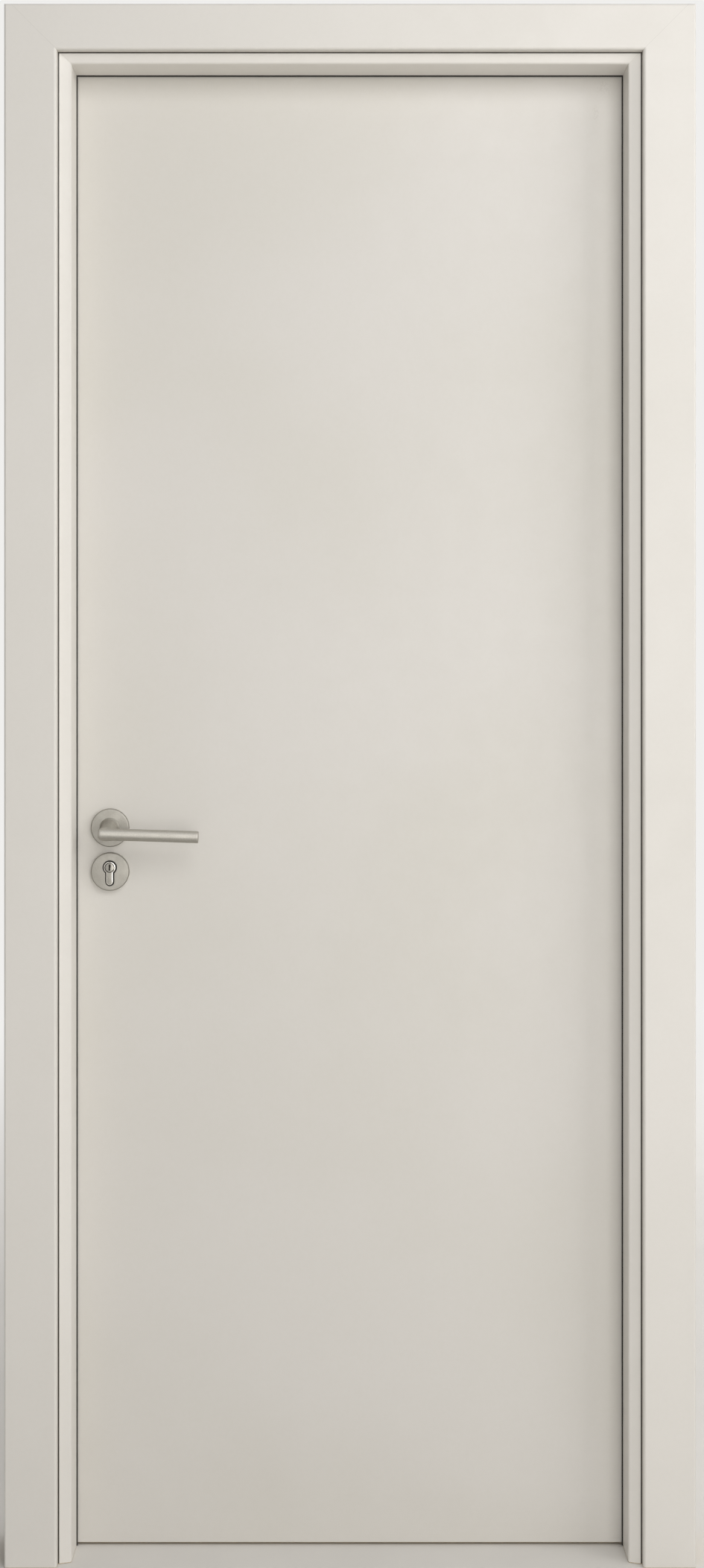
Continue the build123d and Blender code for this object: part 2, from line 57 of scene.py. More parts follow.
# Faces that turn less than this are one flat face
FLAT_ANGLE = math.radians(1.0)
# Keeps a division off zero
TINY = 1e-9

Point = tuple[float, float, float]
Colour = tuple[float, float, float]
Pair = tuple[float, float]


class Face(Enum):
    """The two faces of the leaf, with the sign of the direction that each one looks in along Y."""

    FRONT = -1
    BACK = 1

    @property
    def word(self) -> str:
        """The face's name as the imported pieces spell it."""
        return self.name.lower()


def linear(srgb: Iterable[float]) -> tuple[float, float, float, float]:
    """Turn a colour as seen into the renderer's linear values.

    Args:
        srgb: Red, green and blue from 0 to 255.

    Returns:
        The linear colour with full alpha.
    """
    shares = [value / 255 for value in srgb]
    lifted = [s / 12.92 if s <= 0.04045 else ((s + 0.055) / 1.055) ** 2.4 for s in shares]
    return (*lifted, 1.0)


def middle(node: str) -> Vector:
    """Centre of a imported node's box."""
    low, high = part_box(node)
    return (low + high) / 2


# Shader node helpers


class Shader:
    """A material's node tree with short calls for the nodes that the finishes use."""

    def __init__(self, tree: bpy.types.NodeTree) -> None:
        """Start on an empty tree."""
        self.tree = tree
        self.tree.nodes.clear()

    def node(self, kind: str, **inputs: object) -> bpy.types.Node:
        """Add a node and set or link its inputs.

        Args:
            kind: The node's type name.
            inputs: Attribute or input values; an output socket is linked. Spaces are underscores.

        Returns:
            The new node.
        """
        made = self.tree.nodes.new(kind)
        for key, value in inputs.items():
            name = key.replace("_", " ")
            if key in made.bl_rna.properties:
                setattr(made, key, value)
            elif isinstance(value, bpy.types.NodeSocket):
                self.tree.links.new(value, made.inputs[name])
            else:
                made.inputs[name].default_value = value
        return made

    def math(self, operation: str, *values: object) -> bpy.types.NodeSocket:
        """Add a math node.

        Args:
            operation: The operation's name.
            values: Numbers or output sockets, in the order of the inputs.

        Returns:
            The result's socket.
        """
        made = self.tree.nodes.new("ShaderNodeMath")
        made.operation = operation
        for socket, value in zip(made.inputs, values):
            if isinstance(value, bpy.types.NodeSocket):
                self.tree.links.new(value, socket)
            else:
                socket.default_value = value
        return made.outputs[0]

    def span(self, value: bpy.types.NodeSocket, start: float, end: float,
             low: float = 0.0, high: float = 1.0) -> bpy.types.NodeSocket:
        """Carry a value from one range to another, smoothly and clamped.

        Args:
            value: The socket to carry over.
            start: The value that gives low.
            end: The value that gives high.
            low: The first result.
            high: The last result.

        Returns:
            The result's socket.
        """
        made = self.tree.nodes.new("ShaderNodeMapRange")
        made.interpolation_type = "SMOOTHSTEP"
        self.tree.links.new(value, made.inputs["Value"])
        limits = {"From Min": start, "From Max": end, "To Min": low, "To Max": high}
        for name, limit in limits.items():
            made.inputs[name].default_value = limit
        return made.outputs["Result"]

    def mix(self, share: object, first: object, second: object) -> bpy.types.NodeSocket:
        """Mix two colours.

        Args:
            share: How much of the second colour shows.
            first: The first colour or its socket.
            second: The second colour or its socket.

        Returns:
            The mixed colour's socket.
        """
        made = self.tree.nodes.new("ShaderNodeMix")
        made.data_type = "RGBA"
        for name, value in (("Factor_Float", share), ("A_Color", first), ("B_Color", second)):
            socket = next(s for s in made.inputs if s.identifier == name)
            if isinstance(value, bpy.types.NodeSocket):
                self.tree.links.new(value, socket)
            else:
                socket.default_value = value
        return next(s for s in made.outputs if s.identifier == "Result_Color")

    def scaled(self, place: bpy.types.NodeSocket, scale: Point) -> bpy.types.NodeSocket:
        """Stretch coordinates by a scale along each axis.

        Args:
            place: The coordinates.
            scale: What each axis is multiplied by.

        Returns:
            The stretched coordinates' socket.
        """
        made = self.node("ShaderNodeVectorMath", operation="MULTIPLY")
        self.tree.links.new(place, made.inputs[0])
        made.inputs[1].default_value = scale
        return made.outputs[0]

    def distance(self, place: bpy.types.NodeSocket, centre: Point, scale: Point) -> bpy.types.NodeSocket:
        """Measure how far coordinates lie from a centre.

        Args:
            place: The coordinates.
            centre: The point to measure from.
            scale: What each axis is multiplied by first.

        Returns:
            The distance's socket.
        """
        shift = self.node("ShaderNodeVectorMath", operation="SUBTRACT")
        self.tree.links.new(place, shift.inputs[0])
        shift.inputs[1].default_value = centre
        far = self.node("ShaderNodeVectorMath", operation="LENGTH")
        self.tree.links.new(self.scaled(shift.outputs[0], scale), far.inputs[0])
        return far.outputs["Value"]

    def noise(self, place: bpy.types.NodeSocket, scale: object, detail: float = 2.0) -> bpy.types.NodeSocket:
        """Add a noise texture and give its value."""
        return self.node("ShaderNodeTexNoise", Vector=place, Scale=scale, Detail=detail).outputs["Fac"]


class Effect:
    """A shader node group that several finishes share."""

    def __init__(self, name: str, inputs: dict[str, tuple[str, object]], outputs: dict[str, str]) -> None:
        """Make the group with its named sockets.

        Args:
            name: The group's name.
            inputs: Socket name to its kind and starting value.
            outputs: Socket name to its kind.
        """
        self.tree = bpy.data.node_groups.new(name, "ShaderNodeTree")
        self.shader = Shader(self.tree)
        for label, (kind, value) in inputs.items():
            socket = self.tree.interface.new_socket(label, in_out="INPUT", socket_type=f"NodeSocket{kind}")
            if value is not None:
                socket.default_value = value
        for label, kind in outputs.items():
            self.tree.interface.new_socket(label, in_out="OUTPUT", socket_type=f"NodeSocket{kind}")
        self.given = self.tree.nodes.new("NodeGroupInput").outputs
        self.result = self.tree.nodes.new("NodeGroupOutput").inputs

    def give(self, label: str, socket: bpy.types.NodeSocket) -> None:
        """Link a socket to one of the group's outputs."""
        self.tree.links.new(socket, self.result[label])

    def placed(self, shader: Shader, **inputs: object) -> bpy.types.Node:
        """Place the group in a material's tree with its own values."""
        return shader.node("ShaderNodeGroup", node_tree=self.tree, **inputs)


def film_effect() -> Effect:
    """Build the pressed film: slow patches of tone and a fine orange-peel grain.

    Returns:
        The group, which gives a colour, a roughness and a height.
    """
    effect = Effect(
        "pressed film",
        {"Place": ("Vector", None), "Light Tone": ("Color", None), "Deep Tone": ("Color", None),
         "Grain Scale": ("Float", 1400.0), "Sheen": ("Float", 0.45)},
        {"Colour": "Color", "Roughness": "Float", "Height": "Float"},
    )
    s, given = effect.shader, effect.given
    # Tone: broad clouds with fine specks between them
    cloud = s.noise(given["Place"], 2.2, 3.0)
    speck = s.noise(given["Place"], 160.0, 3.0)
    patches = s.math("ADD", s.span(cloud, 0.32, 0.68, 0.0, 0.85), s.span(speck, 0.42, 0.62, 0.0, 0.15))
    effect.give("Colour", s.mix(patches, given["Light Tone"], given["Deep Tone"]))
    # Height: the film's own grain on the wider peel of the press
    grain = s.noise(given["Place"], given["Grain Scale"], 2.0)
    peel = s.noise(given["Place"], 95.0, 1.0)
    effect.give("Height", s.math("MULTIPLY_ADD", peel, 0.6, s.math("MULTIPLY", grain, 0.4)))
    uneven = s.span(s.noise(given["Place"], 34.0, 4.0), 0.3, 0.7, -0.05, 0.05)
    effect.give("Roughness", s.math("ADD", given["Sheen"], uneven))
    return effect


def brushing_effect() -> Effect:
    """Build brushed metal: long fine scratches along one axis and soft handling marks.

    Returns:
        The group, which gives a tone share, a roughness and a height.
    """
    effect = Effect(
        "brushing",
        {"Place": ("Vector", None), "Roughness": ("Float", 0.3), "Depth": ("Float", 1.0)},
        {"Tone": "Float", "Roughness": "Float", "Height": "Float"},
    )
    s, given = effect.shader, effect.given
    # The coordinates arrive stretched, so even noise draws out into strokes
    strokes = s.noise(given["Place"], 1.0, 4.0)
    marks = s.noise(given["Place"], 0.07, 3.0)
    effect.give("Tone", s.span(strokes, 0.3, 0.7))
    rubbed = s.math("MULTIPLY_ADD", s.span(marks, 0.35, 0.65, -1.0, 1.0), 0.05, given["Roughness"])
    effect.give("Roughness", s.math("MULTIPLY_ADD", s.span(strokes, 0.3, 0.7, -1.0, 1.0), 0.04, rubbed))
    effect.give("Height", s.math("MULTIPLY", strokes, given["Depth"]))
    return effect


def dust_effect() -> Effect:
    """Build settled dust: more of it low down and on faces that look up.

    Returns:
        The group, which gives a mask.
    """
    effect = Effect(
        "settled dust",
        {"Place": ("Vector", None), "Amount": ("Float", 1.0)},
        {"Mask": "Float"},
    )
    s, given = effect.shader, effect.given
    # Dust gathers in the lowest 350 mm and on faces that look up
    height = s.node("ShaderNodeSeparateXYZ", Vector=given["Place"]).outputs["Z"]
    low = s.span(height, 0.35, 0.0, 0.0, 0.6)
    facing = s.node("ShaderNodeSeparateXYZ", Vector=s.node("ShaderNodeNewGeometry").outputs["Normal"])
    upward = s.span(facing.outputs["Z"], 0.6, 1.0, 0.0, 0.5)
    cloud = s.span(s.noise(given["Place"], 7.0, 5.0), 0.25, 0.80)
    settled = s.math("MULTIPLY", s.math("ADD", low, upward), cloud)
    effect.give("Mask", s.math("MULTIPLY", settled, given["Amount"]))
    return effect


EFFECTS: dict[str, Effect] = {}


class Finish:
    """A finish that builds its material once and hands it out."""

    name: str

    def __init__(self) -> None:
        """Hold no material until it is first asked for."""
        self.made: bpy.types.Material | None = None

    @property
    def material(self) -> bpy.types.Material:
        """The finish's material, built on first use.

        Returns:
            The material.
        """
        if self.made is None:
            self.made = bpy.data.materials.new(self.name)
            self.made.use_nodes = True
            shader = Shader(self.made.node_tree)
            surface = self.build(shader)
            shader.node("ShaderNodeOutputMaterial", Surface=surface.outputs["BSDF"])
        return self.made

    def build(self, shader: Shader) -> bpy.types.Node:
        """Build the nodes and return the Principled BSDF."""
        raise NotImplementedError

    @staticmethod
    def place(shader: Shader) -> bpy.types.NodeSocket:
        """Coordinates that stay with the piece, in metres."""
        return shader.node("ShaderNodeTexCoord").outputs["Object"]


class RawSide(Enum):
    """Which sides of a piece show the bare board instead of the film."""

    WALL = "wall"
    FRONT_CASING_BACK = "back of the front casing"
    BACK_CASING_BACK = "back of the back casing"
    ENDS = "ends"
    ALL = "all"


@dataclass(frozen=True)
class FilmTone:
    """The colours and sheen of one film-covered part."""

    light: Colour
    deep: Colour
    sheen: float


@dataclass(frozen=True)
class DoorPlaces:
    """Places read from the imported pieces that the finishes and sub-assemblies share."""

    middle_x: float
    jamb_half_width: float
    jamb_top: float
    wall_front: float
    wall_back: float
    opening_half: float
    opening_top: float
    casing_inner_half: float
    casing_inner_top: float
    back_inner_half: float
    back_inner_top: float

    @staticmethod
    def measured() -> "DoorPlaces":
        """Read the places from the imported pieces.

        Returns:
            The places in metres.
        """
        hinge_low, hinge_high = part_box("jamb_hinge_side")
        lock_low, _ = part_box("jamb_lock_side")
        head_casing_low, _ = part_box("casing_front_head")
        side_casing_low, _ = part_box("casing_front_hinge_side")
        centre = (hinge_high.x + lock_low.x) / 2
        return DoorPlaces(
            middle_x=centre,
            jamb_half_width=hinge_high.x - centre,
            jamb_top=hinge_high.z,
            wall_front=hinge_low.y,
            wall_back=hinge_high.y,
            opening_half=hinge_low.x - centre,
            opening_top=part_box("head_jamb")[0].z,
            casing_inner_half=side_casing_low.x - centre,
            casing_inner_top=head_casing_low.z,
            back_inner_half=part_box("casing_back_hinge_side")[0].x - centre,
            back_inner_top=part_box("casing_back_head")[0].z,
        )


class FilmFinish(Finish):
    """Off-white film on board, bare on the sides that the wall or the floor hides."""

    board_light: Colour = (216, 200, 170)
    board_deep: Colour = (194, 175, 142)
    dust_colour: Colour = (178, 170, 158)
    mitre_colour: Colour = (150, 145, 136)
    # Near-black colour of the painted shade in the gap at the casings' inner edges
    gap_shade_colour: Colour = (52, 47, 42)
    smudge_colour: Colour = (176, 172, 164)
    fibre_scale: Point = (420.0, 420.0, 60.0)
    saw_scale = 90.0
    dust_amount = 0.14
    mitre_width = 0.35 * MM
    mitre_share = 0.35
    mitre_depth = 2.0
    shade_band_width = 1.5 * MM
    shade_band_fade = 1.5
    edge_depth = 0.6 * MM
    board_roughness = 0.3
    bump_strength = 0.12
    bump_distance = 0.25 * MM
    ior = 1.46
    # Each smudge: in from the leaf's edge, down from its top, half width, half height, share
    smudges = ((0.047, 0.062, 0.004, 0.010, 0.30), (0.036, 0.026, 0.010, 0.012, 0.16))

    def __init__(self, name: str, tone: FilmTone, raw: RawSide, places: DoorPlaces,
                 mitre: Pair | None = None, marks: bool = False) -> None:
        """Keep what this film needs.

        Args:
            name: The material's name.
            tone: Its colours and sheen.
            raw: The sides that stay bare.
            places: The door's shared places.
            mitre: Half width and height of the inner corner that a mitre joint starts from.
            marks: Whether the surface has the faint smudges near its upper right corner.
        """
        super().__init__()
        self.name, self.tone, self.raw, self.places = name, tone, raw, places
        self.mitre, self.marks = mitre, marks

    def bare_mask(self, s: Shader, x: object, y: object, z: object) -> bpy.types.NodeSocket | None:
        """Mask of the bare sides, from the coordinates.

        Args:
            s: The material's shader.
            x: The coordinate across the door.
            y: The coordinate through the wall.
            z: The height.

        Returns:
            The mask's socket, or None where no side or every side is bare.
        """
        p, near = self.places, self.edge_depth
        foot = s.math("LESS_THAN", z, near)
        half = s.math("ABSOLUTE", s.math("SUBTRACT", x, p.middle_x))
        if self.raw is RawSide.WALL:
            side = s.math("GREATER_THAN", half, p.jamb_half_width - near)
            top = s.math("GREATER_THAN", z, p.jamb_top - near)
            cut = s.math("MAXIMUM", foot, self.strike_pocket(s, x, y, z))
            return s.math("MAXIMUM", s.math("MAXIMUM", side, top), cut)
        if self.raw is RawSide.FRONT_CASING_BACK:
            return s.math("MAXIMUM", s.math("GREATER_THAN", y, p.wall_front - near), foot)
        if self.raw is RawSide.BACK_CASING_BACK:
            return s.math("MAXIMUM", s.math("LESS_THAN", y, p.wall_back + near), foot)
        if self.raw is RawSide.ENDS:
            leaf_low, leaf_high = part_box("leaf_front_skin")
            under = s.math("LESS_THAN", z, leaf_low.z + near)
            over = s.math("GREATER_THAN", z, leaf_high.z - near)
            return s.math("MAXIMUM", under, over)
        return None

    def strike_pocket(self, s: Shader, x: object, y: object, z: object) -> bpy.types.NodeSocket:
        """Mask of the pockets that are cut into the board behind the strike plate.

        Args:
            s: The material's shader.
            x: The coordinate across the door.
            y: The coordinate through the wall.
            z: The height.

        Returns:
            The mask's socket.
        """
        low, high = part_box("strike_plate")
        pocket = s.math("LESS_THAN", x, low.x - self.edge_depth / 2)
        for value, start, end in ((y, low.y, high.y), (z, low.z, high.z)):
            pocket = s.math("MULTIPLY", pocket, s.math("GREATER_THAN", value, start))
            pocket = s.math("MULTIPLY", pocket, s.math("LESS_THAN", value, end))
        return pocket

    def build(self, s: Shader) -> bpy.types.Node:
        """Build the film over its board.

        Args:
            s: The material's shader.

        Returns:
            The Principled BSDF.
        """
        place = self.place(s)
        film = EFFECTS["film"].placed(
            s, Place=place, Light_Tone=linear(self.tone.light), Deep_Tone=linear(self.tone.deep),
            Sheen=self.tone.sheen)
        axes = s.node("ShaderNodeSeparateXYZ", Vector=place).outputs
        x, y, z = axes["X"], axes["Y"], axes["Z"]
        colour, rough = film.outputs["Colour"], film.outputs["Roughness"]
        height = film.outputs["Height"]
        dust = EFFECTS["dust"].placed(s, Place=place, Amount=self.dust_amount).outputs["Mask"]
        colour = s.mix(dust, colour, linear(self.dust_colour))
        if self.mitre:
            half = s.math("ABSOLUTE", s.math("SUBTRACT", x, self.places.middle_x))
            across, up = s.math("SUBTRACT", half, self.mitre[0]), s.math("SUBTRACT", z, self.mitre[1])
            joint = s.span(s.math("ABSOLUTE", s.math("SUBTRACT", across, up)), self.mitre_width, 0.0)
            colour = s.mix(s.math("MULTIPLY", joint, self.mitre_share), colour, linear(self.mitre_colour))
            height = s.math("SUBTRACT", height, s.math("MULTIPLY", joint, self.mitre_depth))
        if self.raw is RawSide.WALL:
            # Painted shade: a near-black band on the jamb's front face along the casings' inner edges,
            # standing in for the shadow in the gap there
            colour = s.mix(self.painted_gap_shade(s, x, y, z), colour, linear(self.gap_shade_colour))
        if self.marks:
            colour = self.marked(s, place, colour)
        bare = self.bare_mask(s, x, y, z)
        if self.raw is RawSide.ALL:
            colour, rough, height = self.board(s, place)
        elif bare is not None:
            board, _, board_height = self.board(s, place)
            colour = s.mix(bare, colour, board)
            rough = s.math("ADD", rough, s.math("MULTIPLY", bare, self.board_roughness))
            height = s.math("ADD", height, s.math("MULTIPLY", bare, board_height))
        bump = s.node("ShaderNodeBump", Height=height, Strength=self.bump_strength,
                      Distance=self.bump_distance)
        return s.node("ShaderNodeBsdfPrincipled", Base_Color=colour, Roughness=rough, IOR=self.ior,
                      Normal=bump.outputs["Normal"])

    def painted_gap_shade(self, s: Shader, x: object, y: object, z: object) -> bpy.types.NodeSocket:
        """Mask of the painted shade in the gap along the casings' inner edges: a dark band on the jamb's
        front face where the gap's shadow falls.

        Args:
            s: The material's shader.
            x: The coordinate across the door.
            y: The coordinate through the wall.
            z: The height.

        Returns:
            The mask's socket.
        """
        p = self.places
        half = s.math("ABSOLUTE", s.math("SUBTRACT", x, p.middle_x))
        faces = (
            ("LESS_THAN", p.wall_front + self.edge_depth, p.casing_inner_half, p.casing_inner_top),
            ("GREATER_THAN", p.wall_back - self.edge_depth, p.back_inner_half, p.back_inner_top),
        )
        masks = []
        for test, limit, inner_half, inner_top in faces:
            on_face = s.math(test, y, limit)
            fade = self.shade_band_width * self.shade_band_fade
            side = s.span(half, inner_half - fade, inner_half - self.shade_band_width)
            top = s.span(z, inner_top - fade, inner_top - self.shade_band_width)
            masks.append(s.math("MULTIPLY", on_face, s.math("MAXIMUM", side, top)))
        return s.math("MAXIMUM", *masks)

    def board(self, s: Shader, place: bpy.types.NodeSocket) -> tuple[object, object, object]:
        """Bare wood-plastic board: short fibres and saw marks.

        Args:
            s: The material's shader.
            place: The piece's coordinates.

        Returns:
            The colour, roughness and height sockets.
        """
        fibre = s.noise(s.scaled(place, self.fibre_scale), 1.0, 5.0)
        colour = s.mix(s.span(fibre, 0.3, 0.7), linear(self.board_light), linear(self.board_deep))
        rough = s.span(fibre, 0.3, 0.7, 0.72, 0.85)
        saw = s.node("ShaderNodeTexWave", Vector=place, Scale=self.saw_scale, Distortion=1.5).outputs["Fac"]
        return colour, rough, s.math("ADD", s.math("MULTIPLY", fibre, 2.0), saw)

    def marked(self, s: Shader, place: bpy.types.NodeSocket, colour: object) -> bpy.types.NodeSocket:
        """Add the faint smudges near the leaf's upper hinge corner.

        Args:
            s: The material's shader.
            place: The piece's coordinates.
            colour: The film's colour so far.

        Returns:
            The colour with the marks.
        """
        _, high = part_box("leaf_front_skin")
        shade = linear(self.smudge_colour)
        for inset, down, wide, tall, share in self.smudges:
            far = s.distance(place, (high.x - inset, 0.0, high.z - down), (1 / wide, 0.0, 1 / tall))
            core = s.span(far, 1.6, 0.2)
            ragged = s.span(s.noise(place, 420.0, 4.0), 0.40, 0.66)
            colour = s.mix(s.math("MULTIPLY", s.math("MULTIPLY", core, ragged), share), colour, shade)
        return colour


@dataclass(frozen=True)
class MetalTone:
    """Colour, roughness and brushing of one metal finish."""

    light: Colour
    deep: Colour
    roughness: float
    strokes: Point
    depth: float


METALS: dict[str, MetalTone] = {
    "satin nickel": MetalTone((186, 183, 176), (175, 172, 165), 0.50, (900.0, 900.0, 900.0), 0.5),
    "satin nickel rose": MetalTone((168, 165, 158), (159, 156, 149), 0.52, (1100.0, 1100.0, 1100.0), 0.5),
    # Painted light on the cylinder: the polished entry is a brighter copy put on its rounded edge as a
    # painted highlight, and the near-black entry is painted shade on its outer wall, bore and keyway
    "polished nickel": MetalTone((232, 229, 223), (220, 217, 211), 0.16, (700.0, 700.0, 700.0), 0.1),
    "fine turned nickel": MetalTone((160, 157, 150), (146, 143, 136), 0.36, (700.0, 700.0, 700.0), 0.2),
    "shade-painted nickel": MetalTone((64, 62, 58), (48, 46, 43), 0.24, (700.0, 700.0, 700.0), 0.3),
    "brushed hinge steel": MetalTone((190, 188, 184), (178, 176, 172), 0.30, (1500.0, 1500.0, 60.0), 1.0),
    "plated lock steel": MetalTone((192, 190, 184), (172, 170, 164), 0.32, (1500.0, 1500.0, 60.0), 0.8),
    "zinc case": MetalTone((168, 168, 164), (140, 141, 138), 0.42, (240.0, 240.0, 240.0), 1.0),
    "screw steel": MetalTone((184, 182, 176), (160, 158, 152), 0.26, (900.0, 900.0, 900.0), 0.6),
}


class MetalFinish(Finish):
    """Satin, brushed or polished metal."""

    # Colour of the painted shade in a joint's ring
    joint_shade_colour: Colour = (70, 67, 62)
    joint_shade_core = 0.4
    dust_amount = 0.14
    dust_roughness = 0.15
    bump_strength = 0.10
    bump_distance = 0.05 * MM

    def __init__(self, name: str, ring: tuple[Point, float, float] | None = None) -> None:
        """Keep what this metal needs.

        Args:
            name: The material's name, which is also that of its tone.
            ring: Centre, radius and half width of a ring of painted shade in a joint about an axis along Y.
        """
        super().__init__()
        self.name, self.tone, self.ring = name, METALS[name], ring

    def build(self, s: Shader) -> bpy.types.Node:
        """Build the metal from the shared brushing.

        Args:
            s: The material's shader.

        Returns:
            The Principled BSDF.
        """
        place = self.place(s)
        brushed = EFFECTS["brushing"].placed(
            s, Place=s.scaled(place, self.tone.strokes), Roughness=self.tone.roughness, Depth=self.tone.depth)
        colour = s.mix(brushed.outputs["Tone"], linear(self.tone.light), linear(self.tone.deep))
        if self.ring:
            # Painted shade: a dark ring where the plug meets the cylinder's body
            centre, radius, half_width = self.ring
            reach = s.distance(place, centre, (1.0, 0.0, 1.0))
            off = s.math("ABSOLUTE", s.math("SUBTRACT", reach, radius))
            joint_shade = s.span(off, half_width, half_width * self.joint_shade_core)
            colour = s.mix(joint_shade, colour, linear(self.joint_shade_colour))
        dust = EFFECTS["dust"].placed(s, Place=place, Amount=self.dust_amount).outputs["Mask"]
        rough = s.math("ADD", brushed.outputs["Roughness"], s.math("MULTIPLY", dust, self.dust_roughness))
        bump = s.node("ShaderNodeBump", Height=brushed.outputs["Height"], Strength=self.bump_strength,
                      Distance=self.bump_distance)
        return s.node("ShaderNodeBsdfPrincipled", Base_Color=colour, Roughness=rough, Metallic=1.0,
                      Normal=bump.outputs["Normal"])


class SealFinish(Finish):
    """Soft dark seal with a faint bloom along its length; its near-black colour is partly the rubber's own
    and partly painted shade of the gap beside the leaf.
    """

    name = "seal rubber darkened as gap shade"
    # Near black: the rubber's own dark colour, darkened further as painted shade of the gap between the stop
    # and the leaf
    light: Colour = (44, 41, 38)
    deep: Colour = (28, 26, 24)
    bump_strength = 0.2
    bump_distance = 0.1 * MM

    def build(self, s: Shader) -> bpy.types.Node:
        """Build the rubber.

        Args:
            s: The material's shader.

        Returns:
            The Principled BSDF.
        """
        place = self.place(s)
        bloom = s.noise(place, 45.0, 4.0)
        grain = s.noise(place, 900.0, 2.0)
        colour = s.mix(s.span(bloom, 0.3, 0.7), linear(self.deep), linear(self.light))
        bump = s.node("ShaderNodeBump", Height=grain, Strength=self.bump_strength,
                      Distance=self.bump_distance)
        return s.node("ShaderNodeBsdfPrincipled", Base_Color=colour, Normal=bump.outputs["Normal"],
                      Roughness=s.span(bloom, 0.3, 0.7, 0.58, 0.72))


class NylonFinish(Finish):
    """Near-black moulded nylon with a fine spark texture; its near-black colour is partly painted shade for
    the gap round the cylinder.
    """

    name = "near-black nylon as gap shade"
    # Near black, partly as painted shade of the gap between the rose and the cylinder
    light: Colour = (36, 35, 33)
    deep: Colour = (22, 21, 20)
    bump_strength = 0.15
    bump_distance = 0.05 * MM

    def build(self, s: Shader) -> bpy.types.Node:
        """Build the nylon.

        Args:
            s: The material's shader.

        Returns:
            The Principled BSDF.
        """
        grain = s.noise(self.place(s), 2200.0, 3.0)
        colour = s.mix(s.span(grain, 0.35, 0.65), linear(self.deep), linear(self.light))
        bump = s.node("ShaderNodeBump", Height=grain, Strength=self.bump_strength,
                      Distance=self.bump_distance)
        return s.node("ShaderNodeBsdfPrincipled", Base_Color=colour, Normal=bump.outputs["Normal"],
                      Roughness=s.span(grain, 0.35, 0.65, 0.45, 0.6))


# Mesh helpers


def new_piece(name: str, shape: bmesh.types.BMesh, finish: Finish, body: str,
              sharp_angle: float = 32.0) -> bpy.types.Object:
    """Turn a bmesh into a named piece that rides on a body.

    Args:
        name: The piece's name.
        shape: The mesh, which is freed.
        finish: Its finish.
        body: The CAD body that carries it.
        sharp_angle: Edges that turn more than this many degrees stay crisp.

    Returns:
        The new object.
    """
    bmesh.ops.recalc_face_normals(shape, faces=shape.faces)
    mesh = bpy.data.meshes.new(name)
    shape.to_mesh(mesh)
    shape.free()
    mesh.shade_smooth()
    mesh.set_sharp_from_angle(angle=math.radians(sharp_angle))
    mesh.materials.append(finish.material)
    piece = bpy.data.objects.new(name, mesh)
    bpy.context.scene.collection.objects.link(piece)
    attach(piece, body)
    return piece


def add_loops(shape: bmesh.types.BMesh, loops: list[list[Vector]], caps: bool = True) -> None:
    """Skin closed loops of equal length one after another.

    Args:
        shape: The mesh to add to.
        loops: The loops, in order.
        caps: Whether the first and last loops are filled; otherwise the skin closes on itself.
    """
    rings = [[shape.verts.new(point) for point in loop] for loop in loops]
    pairs = list(zip(rings, rings[1:])) if caps else list(zip(rings, rings[1:] + rings[:1]))
    for near, far in pairs:
        for i in range(len(near)):
            j = (i + 1) % len(near)
            shape.faces.new((near[i], near[j], far[j], far[i]))
    if caps:
        shape.faces.new(list(reversed(rings[0])))
        shape.faces.new(rings[-1])


def welded(node: str) -> bmesh.types.BMesh:
    """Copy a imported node's mesh with its points welded and its flat faces joined.

    Args:
        node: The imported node.

    Returns:
        The copy.
    """
    shape = bmesh.new()
    shape.from_mesh(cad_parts[node].data)
    bmesh.ops.remove_doubles(shape, verts=shape.verts, dist=WELD)
    bmesh.ops.dissolve_limit(shape, angle_limit=FLAT_ANGLE, verts=shape.verts, edges=shape.edges)
    return shape


def softened(node: str, finish: Finish, body: str, edge: float = 0.3 * MM,
             crisp: float = math.radians(50)) -> bpy.types.Object:
    """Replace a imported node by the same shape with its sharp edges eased.

    Args:
        node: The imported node.
        finish: The piece's finish.
        body: The body that carries the node.
        edge: How wide the eased edges are.
        crisp: How far an edge has to turn to be eased.

    Returns:
        The new piece.
    """
    shape = welded(node)
    turning = [e for e in shape.edges if len(e.link_faces) == 2 and e.calc_face_angle(0.0) > crisp]
    bmesh.ops.bevel(shape, geom=turning, offset=edge, segments=2, profile=0.5, affect="EDGES",
                    clamp_overlap=True)
    piece = new_piece(f"{node}_finished", shape, finish, body)
    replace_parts(piece, node)
    return piece


def dress(node: str, finish: Finish) -> None:
    """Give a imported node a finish.

    Args:
        node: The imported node.
        finish: Its finish.
    """
    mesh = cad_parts[node].data
    mesh.materials.clear()
    mesh.materials.append(finish.material)


# Sub-assemblies


@dataclass(frozen=True)
class Lamp:
    """One large soft square lamp."""

    name: str
    place: Point
    aim: Point
    size: float
    power: float
    tint: Colour

    def hang(self) -> None:
        """Hang the lamp at its place, facing its aim."""
        data = bpy.data.lights.new(self.name, "AREA")
        data.shape, data.size, data.energy = "SQUARE", self.size, self.power
        data.color = linear(self.tint)[:3]
        lamp = bpy.data.objects.new(self.name, data)
        lamp.location = self.place
        lamp.rotation_euler = (Vector(self.aim) - Vector(self.place)).to_track_quat("-Z", "Y").to_euler()
        bpy.context.scene.collection.objects.link(lamp)


